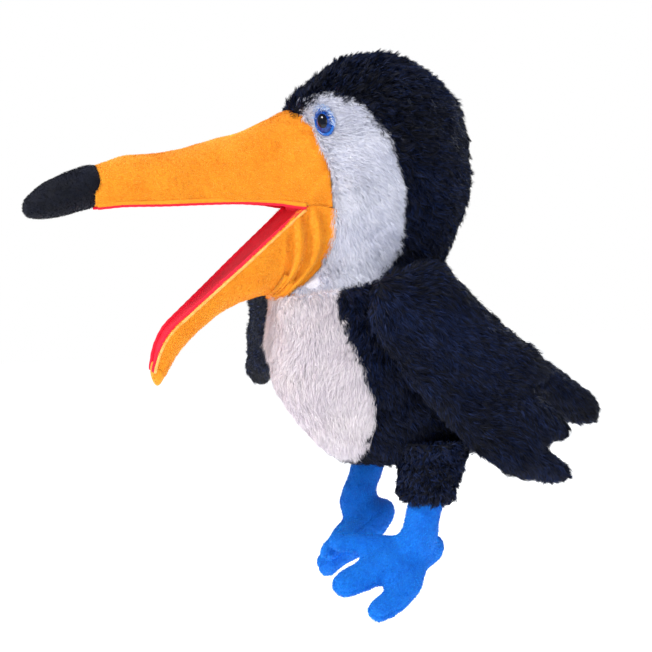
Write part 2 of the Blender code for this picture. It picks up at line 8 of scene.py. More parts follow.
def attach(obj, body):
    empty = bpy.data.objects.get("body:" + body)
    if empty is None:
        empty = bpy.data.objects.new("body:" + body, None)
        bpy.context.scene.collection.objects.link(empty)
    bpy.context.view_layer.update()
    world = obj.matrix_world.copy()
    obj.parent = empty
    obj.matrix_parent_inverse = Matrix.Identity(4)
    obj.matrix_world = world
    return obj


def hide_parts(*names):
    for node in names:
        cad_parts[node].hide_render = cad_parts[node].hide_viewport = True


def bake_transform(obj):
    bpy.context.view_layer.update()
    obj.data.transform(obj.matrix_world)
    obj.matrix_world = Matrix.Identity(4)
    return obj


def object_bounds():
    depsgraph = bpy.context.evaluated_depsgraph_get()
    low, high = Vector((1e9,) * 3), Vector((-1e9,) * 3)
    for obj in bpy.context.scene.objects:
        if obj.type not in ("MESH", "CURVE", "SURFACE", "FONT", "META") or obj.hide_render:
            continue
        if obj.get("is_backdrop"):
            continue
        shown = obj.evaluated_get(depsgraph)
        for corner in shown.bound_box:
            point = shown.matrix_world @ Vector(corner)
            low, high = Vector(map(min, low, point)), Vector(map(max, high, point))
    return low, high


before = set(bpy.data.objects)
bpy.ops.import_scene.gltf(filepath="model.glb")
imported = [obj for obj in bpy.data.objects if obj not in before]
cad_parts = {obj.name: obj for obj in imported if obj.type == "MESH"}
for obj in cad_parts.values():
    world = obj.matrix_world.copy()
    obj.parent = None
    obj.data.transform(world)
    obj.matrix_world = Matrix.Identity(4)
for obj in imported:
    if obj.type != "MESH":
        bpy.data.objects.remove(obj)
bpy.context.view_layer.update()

RNG = np.random.default_rng(7)
MM = 0.001
OPEN_Y, OPEN_Z = 125.5, -71.5          # centre of the arm opening in the design frame, mm
YAW = math.radians(-12.0)
NECK = np.array((0.0, 30.0, 30.0))
HINGE = (-20.0, 84.0)                  # mouth corner, (y, z) in the head's frame
NODES = set(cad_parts)


# ------------------------------------------------------------------ coordinates
def W(p):
    """Design millimetres to the row frame in metres."""
    p = np.asarray(p, float)
    return (p - np.array((0, OPEN_Y, OPEN_Z))) * MM


def Hd(p):
    """Head-frame millimetres to the row frame in metres."""
    p = np.asarray(p, float) - NECK
    c, s = math.cos(YAW), math.sin(YAW)
    q = np.stack((c * p[..., 0] - s * p[..., 1], s * p[..., 0] + c * p[..., 1], p[..., 2]), -1)
    return W(q + NECK)


def catmull(table, t):
    """Smooth rows of a table at the positions t (an array of any shape)."""
    tab = np.asarray(table, float)
    t = np.asarray(t, float)
    i = np.clip(np.floor(t).astype(int), 0, len(tab) - 2)
    f = (t - i)[..., None]
    p0, p1, p2, p3 = tab[np.maximum(i - 1, 0)], tab[i], tab[i + 1], tab[np.minimum(i + 2, len(tab) - 1)]
    return 0.5 * (2 * p1 + (p2 - p0) * f + (2 * p0 - 5 * p1 + 4 * p2 - p3) * f * f + (3 * p1 - p0 - 3 * p2 + p3) * f ** 3)


def interp(x, xs, ys):
    order = np.argsort(xs)
    return np.interp(x, np.asarray(xs, float)[order], np.asarray(ys, float)[order])


_waves = {}


def fbm(P, size, octaves=3, seed=0):
    """Smooth noise, about -1..1, with features of the given size in the units of P."""
    key = (seed, octaves)
    if key not in _waves:
        r = np.random.default_rng(1000 + seed)
        _waves[key] = [(r.normal(size=(20, 3)), r.uniform(0, 2 * np.pi, 20)) for _ in range(octaves)]
    shape = P.shape[:-1]
    Q = P.reshape(-1, 3)
    out = np.zeros(len(Q))
    amp, total = 1.0, 0.0
    for o, (k, ph) in enumerate(_waves[key]):
        f = (2 ** o) * 2.2 / size
        out += amp * np.cos(Q @ (k.T * f) + ph).sum(1) / math.sqrt(20) * 0.8
        total += amp
        amp *= 0.5
    return (out / total).reshape(shape)


def smoothstep(a, b, x):
    t = np.clip((np.asarray(x, float) - a) / (b - a), 0, 1)
    return t * t * (3 - 2 * t)


# ------------------------------------------------------------------ mesh building
def mesh_from(name, verts, faces, smooth=True):
    me = bpy.data.meshes.new(name)
    me.from_pydata([tuple(v) for v in verts], [], [tuple(int(i) for i in f) for f in faces])
    me.validate()
    me.update()
    if smooth:
        me.shade_smooth()
    ob = bpy.data.objects.new(name, me)
    bpy.context.scene.collection.objects.link(ob)
    return ob


def grid_faces(nu, nv, wrap_u=False, off=0, flip=False):
    fs = []
    cols = nu if wrap_u else nu - 1
    for i in range(cols):
        k = (i + 1) % nu
        for j in range(nv - 1):
            f = (off + i * nv + j, off + k * nv + j, off + k * nv + j + 1, off + i * nv + j + 1)
            fs.append(f[::-1] if flip else f)
    return fs


def grid_normals(P, wrap_u=False):
    du = (np.roll(P, -1, 0) - np.roll(P, 1, 0)) if wrap_u else np.gradient(P, axis=0)
    dv = np.gradient(P, axis=1)
    n = np.cross(du, dv)
    return n / np.maximum(np.linalg.norm(n, axis=-1, keepdims=True), 1e-12)


def skin(name, P, thick, wrap_u=False, round_edge=0.0015, out_point=None):
    """A sewn panel: a sheet of the given thickness with its free edges rounded inwards, as a closed mesh.
    P is a grid of points in metres; out_point is a point that the panel's inner side faces."""
    nu, nv = P.shape[:2]
    N = grid_normals(P, wrap_u)
    c = np.asarray(out_point, float)
    if ((P - c) * N).sum() < 0:
        N = -N
    e = np.ones((nu, nv))
    d_v = np.minimum(np.arange(nv), np.arange(nv)[::-1])
    e *= np.minimum(1, (d_v / max(2.0, nv * 0.05)))[None, :] ** 0.5
    if not wrap_u:
        d_u = np.minimum(np.arange(nu), np.arange(nu)[::-1])
        e *= (np.minimum(1, (d_u / max(2.0, nu * 0.05))) ** 0.5)[:, None]
    outer = P - N * (round_edge * (1 - e))[..., None]
    inner = P - N * (thick * (0.55 + 0.45 * e))[..., None]
    verts = np.concatenate((outer.reshape(-1, 3), inner.reshape(-1, 3)))
    m = nu * nv
    faces = grid_faces(nu, nv, wrap_u) + grid_faces(nu, nv, wrap_u, off=m, flip=True)
    cols = nu if wrap_u else nu - 1
    for i in range(cols):
        k = (i + 1) % nu
        faces.append((k * nv, i * nv, m + i * nv, m + k * nv))
        faces.append((i * nv + nv - 1, k * nv + nv - 1, m + k * nv + nv - 1, m + i * nv + nv - 1))
    if not wrap_u:
        for j in range(nv - 1):
            faces.append((j, j + 1, m + j + 1, m + j))
            a = (nu - 1) * nv
            faces.append((a + j + 1, a + j, m + a + j, m + a + j + 1))
    ob = mesh_from(name, verts, faces)
    outward(ob)
    return ob


SHEETS = []


def cloth_sheet(ob, width):
    """Declare a lining as a sheet: its area is one side of it, its length follows from the width it was cut to."""
    area = sum(p.area for p in ob.data.polygons) / 2
    length = area / width / 0.85
    SHEETS.append((ob.name, round(width * 1000), round(length * 1000), round(area, 5)))


def outward(ob):
    bm = bmesh.new()
    bm.from_mesh(ob.data)
    bmesh.ops.remove_doubles(bm, verts=bm.verts, dist=1e-6)
    bmesh.ops.dissolve_degenerate(bm, dist=1e-6, edges=bm.edges)
    bmesh.ops.recalc_face_normals(bm, faces=bm.faces)
    bm.to_mesh(ob.data)
    bm.free()
    ob.data.shade_smooth()


def tube_rings(name, rings, cap=True):
    """Closed mesh through equal rings of points."""
    R = np.asarray(rings, float)
    nr, m = R.shape[:2]
    verts = R.reshape(-1, 3)
    faces = []
    for i in range(nr - 1):
        for k in range(m):
            q = (k + 1) % m
            faces.append((i * m + k, i * m + q, (i + 1) * m + q, (i + 1) * m + k))
    if cap:
        faces.append(tuple(range(m))[::-1])
        faces.append(tuple((nr - 1) * m + k for k in range(m)))
    ob = mesh_from(name, verts, faces)
    outward(ob)
    return ob


def smooth_outline(points, per=6):
    p = np.asarray(points, float)
    n = len(p)
    out = []
    for i in range(n):
        a, b, c, d = (p[(i + k) % n] for k in (-1, 0, 1, 2))
        for s in range(per):
            f = s / per
            out.append(0.5 * (2 * b + (c - a) * f + (2 * a - 5 * b + 4 * c - d) * f * f + (3 * b - a - 3 * c + d) * f ** 3))
    return np.array(out)


def apply_modifiers(ob):
    dg = bpy.context.evaluated_depsgraph_get()
    me = bpy.data.meshes.new_from_object(ob.evaluated_get(dg), depsgraph=dg)
    ob.modifiers.clear()
    old = ob.data
    ob.data = me
    bpy.data.meshes.remove(old)
    me.shade_smooth()
    return ob


def remesh(ob, voxel):
    m = ob.modifiers.new("voxels", "REMESH")
    m.mode = "VOXEL"
    m.voxel_size = voxel
    m.adaptivity = 0
    return apply_modifiers(ob)


def relax(ob, rounds=4, factor=0.5):
    bm = bmesh.new()
    bm.from_mesh(ob.data)
    for _ in range(rounds):
        bmesh.ops.smooth_vert(bm, verts=bm.verts, factor=factor, use_axis_x=True, use_axis_y=True, use_axis_z=True)
    bm.to_mesh(ob.data)
    bm.free()
    ob.data.shade_smooth()


def coords(ob):
    co = np.zeros(len(ob.data.vertices) * 3)
    ob.data.vertices.foreach_get("co", co)
    return co.reshape(-1, 3)


def set_coords(ob, co):
    ob.data.vertices.foreach_set("co", np.asarray(co, np.float32).ravel())
    ob.data.update()


def vert_normals(ob):
    n = np.zeros(len(ob.data.vertices) * 3)
    ob.data.vertices.foreach_get("normal", n)
    return n.reshape(-1, 3)


def inflate(ob, voxel=0.004, pressure=4.0, cap=0.006, frames=20, stiff=12.0):
    """Voxel remesh, a short cloth simulation with inner pressure, and the result applied, its movement capped."""
    remesh(ob, voxel)
    before = coords(ob)
    m = ob.modifiers.new("cloth", "CLOTH")
    s = m.settings
    s.quality = 5
    s.mass = 0.15
    s.tension_stiffness = stiff
    s.compression_stiffness = stiff
    s.shear_stiffness = stiff * 0.6
    s.bending_stiffness = 0.3
    s.use_pressure = True
    s.uniform_pressure_force = pressure
    s.effector_weights.gravity = 0.0
    m.point_cache.frame_start = 1
    m.point_cache.frame_end = frames
    sc = bpy.context.scene
    for f in range(1, frames + 1):
        sc.frame_set(f)
    apply_modifiers(ob)
    sc.frame_set(1)
    after = coords(ob)
    if len(after) == len(before):
        move = after - before
        length = np.linalg.norm(move, axis=1, keepdims=True)
        move *= np.minimum(1.0, cap / np.maximum(length, 1e-9))
        set_coords(ob, before + move)
    return ob


def subdivide(ob, levels=1):
    m = ob.modifiers.new("sub", "SUBSURF")
    m.levels = m.render_levels = levels
    return apply_modifiers(ob)


# ------------------------------------------------------------------ materials
def node(nt, kind, **kw):
    n = nt.nodes.new(kind)
    for k, v in kw.items():
        if k in n.inputs:
            n.inputs[k].default_value = v
        else:
            setattr(n, k, v)
    return n


def principled(name, **sockets):
    m = bpy.data.materials.new(name)
    m.use_nodes = True
    b = m.node_tree.nodes["Principled BSDF"]
    for k, v in sockets.items():
        b.inputs[k.replace("_", " ")].default_value = v
    return m, m.node_tree, b


def rgb(c):
    return (*c, 1.0)


def pile_material(name, low, high, scale=900.0, patch=60.0, rough=(0.7, 0.95), bump=0.35, dist=0.0006, sheen=0.5,
                  sheen_tint=(1, 1, 1), nap=None, spec=0.25, spread=0.16):
    """Short-pile fabric: fine pile bump, nap patches brushed lighter and darker, soft sheen."""
    m, nt, b = principled(name)
    b.inputs["Sheen Weight"].default_value = sheen
    b.inputs["Sheen Roughness"].default_value = 0.45
    b.inputs["Sheen Tint"].default_value = rgb(sheen_tint)
    b.inputs["Specular IOR Level"].default_value = spec
    tc = node(nt, "ShaderNodeTexCoord")
    big = node(nt, "ShaderNodeTexNoise", Scale=patch, Detail=5.0, Roughness=0.6, Distortion=0.6)
    fine = node(nt, "ShaderNodeTexNoise", Scale=scale, Detail=3.0, Roughness=0.7)
    mid = node(nt, "ShaderNodeTexNoise", Scale=patch * 5, Detail=4.0, Roughness=0.65)
    for t in (big, fine, mid):
        nt.links.new(tc.outputs["Object"], t.inputs["Vector"])
    mix = node(nt, "ShaderNodeMath", operation="ADD")
    a = node(nt, "ShaderNodeMath", operation="MULTIPLY")
    a.inputs[1].default_value = 0.55
    c = node(nt, "ShaderNodeMath", operation="MULTIPLY")
    c.inputs[1].default_value = 0.45
    nt.links.new(big.outputs["Fac"], a.inputs[0])
    nt.links.new(mid.outputs["Fac"], c.inputs[0])
    nt.links.new(a.outputs[0], mix.inputs[0])
    nt.links.new(c.outputs[0], mix.inputs[1])
    ramp = node(nt, "ShaderNodeValToRGB")
    ramp.color_ramp.elements[0].position = 0.5 - spread
    ramp.color_ramp.elements[0].color = rgb(low)
    ramp.color_ramp.elements[1].position = 0.5 + spread
    ramp.color_ramp.elements[1].color = rgb(high)
    nt.links.new(mix.outputs[0], ramp.inputs["Fac"])
    speck = node(nt, "ShaderNodeMix", data_type="RGBA", blend_type="MULTIPLY")
    fr = node(nt, "ShaderNodeValToRGB")
    fr.color_ramp.elements[0].position = 0.3
    fr.color_ramp.elements[0].color = (0.72, 0.72, 0.72, 1)
    fr.color_ramp.elements[1].position = 0.62
    fr.color_ramp.elements[1].color = (1.08, 1.08, 1.08, 1)
    nt.links.new(fine.outputs["Fac"], fr.inputs["Fac"])
    speck.inputs[0].default_value = 0.8
    nt.links.new(ramp.outputs["Color"], speck.inputs[6])
    nt.links.new(fr.outputs["Color"], speck.inputs[7])
    nt.links.new(speck.outputs[2], b.inputs["Base Color"])
    rr = node(nt, "ShaderNodeMapRange")
    rr.inputs["To Min"].default_value, rr.inputs["To Max"].default_value = rough
    nt.links.new(mid.outputs["Fac"], rr.inputs["Value"])
    nt.links.new(rr.outputs[0], b.inputs["Roughness"])
    bp = node(nt, "ShaderNodeBump", Strength=bump, Distance=dist)
    add = node(nt, "ShaderNodeMath", operation="ADD")
    half = node(nt, "ShaderNodeMath", operation="MULTIPLY")
    half.inputs[1].default_value = 0.8
    nt.links.new(mid.outputs["Fac"], half.inputs[0])
    nt.links.new(fine.outputs["Fac"], add.inputs[0])
    nt.links.new(half.outputs[0], add.inputs[1])
    nt.links.new(add.outputs[0], bp.inputs["Height"])
    nt.links.new(bp.outputs["Normal"], b.inputs["Normal"])
    return m


def weave_material(name, low, high, thread=1500.0, rough=0.8):
    """Plain woven cloth: two crossing sets of threads."""
    m, nt, b = principled(name, Roughness=rough)
    b.inputs["Sheen Weight"].default_value = 0.15
    tc = node(nt, "ShaderNodeTexCoord")
    sets = []
    for rot in ((0.3, 0.2, 0.78), (1.2, -0.4, -0.78)):
        mp = node(nt, "ShaderNodeMapping")
        mp.inputs["Rotation"].default_value = rot
        nt.links.new(tc.outputs["Object"], mp.inputs["Vector"])
        w = node(nt, "ShaderNodeTexWave", Scale=thread / 3.0, Distortion=1.2, Detail=2.0)
        nt.links.new(mp.outputs[0], w.inputs["Vector"])
        sets.append(w)
    mul = node(nt, "ShaderNodeMath", operation="MULTIPLY")
    nt.links.new(sets[0].outputs["Fac"], mul.inputs[0])
    nt.links.new(sets[1].outputs["Fac"], mul.inputs[1])
    big = node(nt, "ShaderNodeTexNoise", Scale=45.0, Detail=4.0)
    nt.links.new(tc.outputs["Object"], big.inputs["Vector"])
    s = node(nt, "ShaderNodeMath", operation="ADD")
    nt.links.new(mul.outputs[0], s.inputs[0])
    nt.links.new(big.outputs["Fac"], s.inputs[1])
    ramp = node(nt, "ShaderNodeValToRGB")
    ramp.color_ramp.elements[0].position = 0.35
    ramp.color_ramp.elements[0].color = rgb(low)
    ramp.color_ramp.elements[1].position = 1.0
    ramp.color_ramp.elements[1].color = rgb(high)
    nt.links.new(s.outputs[0], ramp.inputs["Fac"])
    nt.links.new(ramp.outputs["Color"], b.inputs["Base Color"])
    bp = node(nt, "ShaderNodeBump", Strength=0.4, Distance=0.0003)
    nt.links.new(mul.outputs[0], bp.inputs["Height"])
    nt.links.new(bp.outputs["Normal"], b.inputs["Normal"])
    return m


def fibre_material(name, colour, rough=0.55, sheen=0.2, tint=(1, 1, 1), spec=0.35):
    m, nt, b = principled(name, Roughness=rough)
    b.inputs["Base Color"].default_value = rgb(colour)
    b.inputs["Sheen Weight"].default_value = sheen
    b.inputs["Sheen Roughness"].default_value = 0.4
    b.inputs["Sheen Tint"].default_value = rgb(tint)
    b.inputs["Specular IOR Level"].default_value = spec
    return m


BLACK_BASE = pile_material("black_backing", (0.0012, 0.0016, 0.004), (0.004, 0.006, 0.016), scale=700, patch=50, sheen=0.03,
                           sheen_tint=(0.5, 0.6, 1.0), dist=0.001)
WHITE_BASE = pile_material("white_backing", (0.62, 0.62, 0.72), (0.74, 0.74, 0.82), scale=600, patch=45, sheen=0.3, dist=0.001)
ORANGE = pile_material("orange_velboa_nap", (0.78, 0.225, 0.006), (0.93, 0.37, 0.018), scale=1500, patch=26, sheen=0.42,
                       sheen_tint=(1.0, 0.80, 0.35), bump=0.5, dist=0.0006, spread=0.26)
PIPING = pile_material("orange_piping_nap", (0.86, 0.36, 0.06), (0.98, 0.56, 0.16), scale=1600, patch=80, sheen=0.5,
                       sheen_tint=(1.0, 0.9, 0.6), bump=0.5, dist=0.0004)
TIP = pile_material("black_velboa_nap", (0.0010, 0.0014, 0.004), (0.004, 0.006, 0.018), scale=1300, patch=45, sheen=0.05,
                    sheen_tint=(0.55, 0.65, 1.0), bump=0.4, dist=0.0005)
RED = pile_material("red_felt_nap", (0.74, 0.006, 0.028), (0.92, 0.018, 0.055), scale=1500, patch=45, sheen=0.06,
                    sheen_tint=(1.0, 0.6, 0.6), bump=0.35, dist=0.0004)
BLUE = pile_material("blue_velboa_nap", (0.002, 0.105, 0.56), (0.004, 0.215, 0.82), scale=1500, patch=40, sheen=0.12,
                     sheen_tint=(0.35, 0.75, 1.0), bump=0.6, dist=0.0006, spread=0.24)
LINING = weave_material("lining_weave", (0.012, 0.013, 0.020), (0.055, 0.058, 0.080))
THREAD_ORANGE = weave_material("orange_thread", (0.70, 0.30, 0.04), (1.0, 0.60, 0.16), thread=4000)
THREAD_BLUE = weave_material("blue_thread", (0.01, 0.10, 0.45), (0.03, 0.30, 0.85), thread=4000)
THREAD_BLACK = weave_material("black_thread", (0.006, 0.007, 0.012), (0.03, 0.033, 0.05), thread=4000)
WHITE_FUR = [fibre_material("white_fibre_%d" % i, c, 0.75, 0.25) for i, c in enumerate(
    ((0.62, 0.64, 0.78), (0.70, 0.71, 0.82), (0.76, 0.77, 0.87), (0.82, 0.83, 0.91)))]
BIB_FUR = [fibre_material("bib_fibre_%d" % i, c, 0.75, 0.25, (1.0, 0.95, 0.93)) for i, c in enumerate(
    ((0.74, 0.67, 0.74), (0.80, 0.74, 0.79), (0.85, 0.79, 0.82), (0.89, 0.84, 0.86)))]
# black pile fibre shades: the first three are the pile's own navy-black tones; the last, lightest and bluest, is a
# painted highlight that puts the blue glints of the pile on fibres picked at random
BLACK_FUR_WITH_HIGHLIGHT = [fibre_material("black_fibre_%d" % i, c, 0.55, 0.03, (0.4, 0.55, 1.0), 0.17) for i, c in enumerate(
    ((0.0006, 0.0010, 0.0036), (0.0012, 0.0022, 0.009), (0.0028, 0.0058, 0.024), (0.008, 0.018, 0.070)))]


# ------------------------------------------------------------------ fur
def surface_samples(ob, count, weight=None, seed=1):
    me = ob.data
    me.calc_loop_triangles()
    tri = np.zeros(len(me.loop_triangles) * 3, np.int32)
    me.loop_triangles.foreach_get("vertices", tri)
    tri = tri.reshape(-1, 3)
    co, vn = coords(ob), vert_normals(ob)
    a, b, c = co[tri[:, 0]], co[tri[:, 1]], co[tri[:, 2]]
    area = np.linalg.norm(np.cross(b - a, c - a), axis=1) / 2
    if weight is not None:
        n = np.cross(b - a, c - a)
        n /= np.maximum(np.linalg.norm(n, axis=1, keepdims=True), 1e-12)
        area = area * weight((a + b + c) / 3, n)
    cum = np.cumsum(area)
    r = np.random.default_rng(seed)
    pick = np.searchsorted(cum, r.uniform(0, cum[-1], count))
    pick = np.minimum(pick, len(tri) - 1)
    u, v = r.uniform(size=count), r.uniform(size=count)
    k = u + v > 1
    u[k], v[k] = 1 - u[k], 1 - v[k]
    w = 1 - u - v
    T = tri[pick]
    P = co[T[:, 0]] * w[:, None] + co[T[:, 1]] * u[:, None] + co[T[:, 2]] * v[:, None]
    N = vn[T[:, 0]] * w[:, None] + vn[T[:, 1]] * u[:, None] + vn[T[:, 2]] * v[:, None]
    N /= np.maximum(np.linalg.norm(N, axis=1, keepdims=True), 1e-9)
    return P, N


def unit(v):
    return v / np.maximum(np.linalg.norm(v, axis=-1, keepdims=True), 1e-9)


def fur(name, ob, count, length, width, comb, lift=0.55, clump=0.5, clump_size=0.007, curl=0.15, mats=(), weight=None,
        seed=1, bend=0.35, length_at=None, shade_bias=0.0):
    """Plush pile as real blades: each is a narrow tapering strip, combed along the fabric and drawn into tufts."""
    P, N = surface_samples(ob, count, weight, seed)
    r = np.random.default_rng(seed + 50)
    n = len(P)
    C = comb(P)
    T = unit(C - N * (C * N).sum(1, keepdims=True))
    S = unit(np.cross(N, T))
    swirl = fbm(P, 0.030, 2, seed + 3)[:, None] * 0.7
    T = unit(T + S * swirl + r.normal(size=(n, 3)) * 0.12)
    T = unit(T - N * (T * N).sum(1, keepdims=True))
    S = unit(np.cross(N, T))
    L = length * (0.72 + 0.5 * r.uniform(size=n)) * (1 + 0.18 * fbm(P, 0.02, 2, seed + 5))
    if length_at is not None:
        L = L * length_at(P)
    L = L[:, None]
    lf = np.clip(lift + 0.12 * r.normal(size=(n, 1)) + 0.15 * fbm(P, 0.012, 2, seed + 9)[:, None], 0.12, 0.95)
    d0 = unit(N * lf + T * (1 - lf) * 0.9)
    mid = P + d0 * L * 0.5 + S * L * curl * r.normal(size=(n, 1)) * 0.5
    d1 = unit(N * (lf - bend) + T * (1.15 - lf))
    tip = mid + d1 * L * 0.55 + S * L * curl * r.normal(size=(n, 1))
    # tufts: tips drawn together round tuft centres
    size = clump_size
    area_guess = max(1, n // 26)
    centres = r.choice(n, min(n, area_guess), replace=False)
    kd = kdtree.KDTree(len(centres))
    for i, c in enumerate(centres):
        kd.insert(P[c], i)
    kd.balance()
    near = np.array([kd.find(p)[1] for p in P])
    cid = centres[near]
    dist = np.linalg.norm(P - P[cid], axis=1)[:, None]
    pull = clump * np.exp(-(dist / size) ** 2)
    tip = tip + (tip[cid] - tip) * pull
    mid = mid + (mid[cid] - mid) * pull * 0.45
    root = P - N * 0.0006
    a = r.uniform(-1.1, 1.1, size=(n, 1))
    side = unit(np.cross(mid - root, N * np.cos(a) + S * np.sin(a)) + 1e-9)
    wd = width * (0.7 + 0.6 * r.uniform(size=(n, 1)))
    V = np.stack((root - side * wd * 0.5, root + side * wd * 0.5, mid - side * wd * 0.38, mid + side * wd * 0.38, tip), 1)
    verts = V.reshape(-1, 3)
    base = np.arange(n, dtype=np.int32) * 5
    quads = np.stack((base, base + 1, base + 3, base + 2), 1)
    tris = np.stack((base + 2, base + 3, base + 4), 1)
    loops = np.concatenate((quads, tris), 1).ravel()
    starts = (np.arange(n, dtype=np.int32)[:, None] * 7 + np.array((0, 4), np.int32)).ravel()
    me = bpy.data.meshes.new(name)
    me.vertices.add(len(verts))
    me.vertices.foreach_set("co", verts.astype(np.float32).ravel())
    me.loops.add(len(loops))
    me.loops.foreach_set("vertex_index", loops.astype(np.int32))
    me.polygons.add(2 * n)
    me.polygons.foreach_set("loop_start", starts)
    tone = fbm(P, 0.035, 3, seed + 7) * 0.8 + r.normal(size=n) * 0.9 + shade_bias
    idx = np.clip(np.floor((tone + 1.6) / 3.2 * len(mats)), 0, len(mats) - 1).astype(np.int32)
    me.polygons.foreach_set("material_index", np.repeat(idx, 2))
    me.update(calc_edges=True)
    me.validate()
    me.shade_smooth()
    o = bpy.data.objects.new(name, me)
    bpy.context.scene.collection.objects.link(o)
    for m in mats:
        me.materials.append(m)
    return o


ORANGE_NAP = [fibre_material("orange_nap_%d" % i, c, 0.7, 0.3, (1.0, 0.85, 0.5)) for i, c in enumerate(
    ((0.82, 0.28, 0.008), (0.94, 0.39, 0.015), (1.0, 0.49, 0.030), (1.0, 0.62, 0.09)))]
BLUE_NAP = [fibre_material("blue_nap_%d" % i, c, 0.75, 0.07, (0.3, 0.75, 1.0), 0.2) for i, c in enumerate(
    ((0.001, 0.125, 0.58), (0.003, 0.21, 0.78), (0.006, 0.31, 0.93), (0.03, 0.46, 1.0)))]
TIP_NAP = [fibre_material("tip_nap_%d" % i, c, 0.65, 0.03, (0.5, 0.6, 1.0), 0.18) for i, c in enumerate(
    ((0.001, 0.0012, 0.003), (0.002, 0.0026, 0.007), (0.005, 0.007, 0.020)))]


def nap(name, ob, count, comb, mats, slot_name, seed, length=0.0014, weight=None):
    o = fur(name, ob, count, length, 0.00022, comb, lift=0.45, clump=0.25, clump_size=0.0016, curl=0.10, mats=mats, seed=seed,
            bend=0.25, weight=weight)
    return o


# ------------------------------------------------------------------ the head's surface
FUR_IN = 4.0
HEAD = (
    (12, -38, 92, 51), (20, -40, 90, 50), (30, -34, 87, 48), (40, -24, 87, 47), (50, -17, 90, 49), (60, -15, 95, 52.5), (80, -18, 103, 56),
    (100, -20, 107.5, 58), (120, -24, 107.5, 58.5), (140, -26.5, 104.5, 56.5), (156, -25.5, 98.5, 51.5), (170, -14, 89, 44),
    (182, 0, 76, 33), (190, 17, 62, 20), (193.5, 40, 40, 0.0), (190, 62, 17, -20),
)
_t = np.linspace(0, 14, 1400)
_rows = catmull(HEAD, _t)
_Z = np.maximum.accumulate(_rows[:, 0])


def head_section(z):
    t = np.interp(z, _Z, _t)
    r = catmull(HEAD, t)
    return r[..., 1], r[..., 2], np.abs(r[..., 3])


HEAD_C = np.array((0.0, 38.0, 100.0))


def head_inside(p, inset):
    z = p[..., 2]
    top = 193.5 - inset
    zz = np.clip(z, 12, 193.5)
    # shrink vertically near the crown
    zs = np.where(z > 150, 150 + (z - 150) * (193.5 - 150) / (top - 150), z)
    zs = np.clip(zs, 12, 193.49)
    fy, by, w = head_section(zs)
    cy, b = (fy + by) / 2, np.maximum((by - fy) / 2 - inset, 0.01)
    w = np.maximum(w - inset, 0.01)
    return ((p[..., 0] / w) ** 2 + ((p[..., 1] - cy) / b) ** 2 < 1) & (z < top)


def head_dir(d, inset=0.0, centre=HEAD_C):
    """Point on the head's surface in the direction d from its centre."""
    d = unit(np.asarray(d, float))
    lo = np.zeros(d.shape[:-1])
    hi = np.full(d.shape[:-1], 160.0)
    for _ in range(26):
        m = (lo + hi) / 2
        ins = head_inside(centre + d * m[..., None], inset)
        lo = np.where(ins, m, lo)
        hi = np.where(ins, hi, m)
    return centre + d * lo[..., None]


def head_ang(deg, z, inset=0.0):
    fy, by, w = head_section(z)
    a = np.radians(deg)
    cy, b = (fy + by) / 2, (by - fy) / 2 - inset
    return np.stack(((w - inset) * np.sin(a), cy - b * np.cos(a), z + 0 * a), -1)


# curves on the near side of the head as (deg, z)
BEAK_SEAM = ((28, 21.5), (31, 30), (32, 40), (33, 52), (38, 68), (41, 89), (41.5, 104), (40.5, 118), (34, 134), (22, 147), (12, 152))
FACE_REAR = ((86, 42), (89, 52), (90, 66), (90.5, 84), (89, 104), (85, 122), (80, 138), (71, 150), (57, 158), (38, 160), (15, 154.5))


def neck_plane_z(y):
    return 21.0 + (y + 40.0) * 0.223


def curve_pts(table, v):
    tt = v * (len(table) - 1)
    return catmull(table, tt)


def to_neck_seam(P, k, inset):
    """Slide the lowest rows down the head's surface so that they end on the neck seam."""
    fy, by, w = head_section(np.clip(P[..., 2], 12.5, 190))
    cy, b = (fy + by) / 2, (by - fy) / 2
    th = np.degrees(np.arctan2(P[..., 0] / w, (cy - P[..., 1]) / b))
    base = head_ang(th, 0 * th + 24.0, inset)
    z = P[..., 2] * (1 - k) + neck_plane_z(base[..., 1]) * k
    Q = head_ang(th, np.clip(z, 12.5, 190), inset)
    return np.where((k > 0.002)[..., None] & (P[..., 2] < 150)[..., None], Q, P)


def face_grid(side, nu=70, nv=110, inset=FUR_IN):
    v = np.linspace(0, 1, nv)
    A, B = curve_pts(BEAK_SEAM, v), curve_pts(FACE_REAR, v)
    u = np.linspace(0, 1, nu)[:, None, None]
    D = A[None] * (1 - u) + B[None] * u
    deg, z = D[..., 0], D[..., 1]
    P = head_ang(side * deg, np.clip(z, 12.5, 190), inset)
    k = (1 - v)[None, :] ** 3 + 0 * P[..., 2]
    return to_neck_seam(P, k, inset)


def hood_grid(nu=150, nv=110, inset=FUR_IN):
    v = np.linspace(0, 1, nv)
    B = curve_pts(FACE_REAR, v)
    L = head_ang(B[:, 0], B[:, 1], 0) - HEAD_C
    a = np.linspace(0, 1, len(v))
    mid_tab = np.array([(0, 52, -56), (0, 62, -34), (0, 68, -5), (0, 68, 22), (0, 60, 52), (0, 42, 76), (0, 18, 90), (0, -8, 92),
                        (0, -34, 82), (0, -55, 66), (0, -66, 50.5)], float)
    M = catmull(mid_tab, a * (len(mid_tab) - 1))
    R = L * np.array((-1, 1, 1))
    midp, S = (L + R) / 2, (L - R) / 2
    th = np.linspace(0, np.pi, nu)[:, None, None]
    D = midp[None] * (1 - np.sin(th)) + M[None] * np.sin(th) + S[None] * np.cos(th)
    P = head_dir(D, inset)
    k = (1 - v)[None, :] ** 3 + 0 * P[..., 2]
    return to_neck_seam(P, k, inset)


def add_mat(ob, *mats):
    ob.data.materials.clear()
    for m in mats:
        ob.data.materials.append(m)
    return ob


def neck_blend_head(ob):
    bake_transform(ob)


def neck_blend_torso(ob):
    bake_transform(ob)


def fluff(P, amp, size, seed):
    return amp * fbm(P, size, 3, seed)


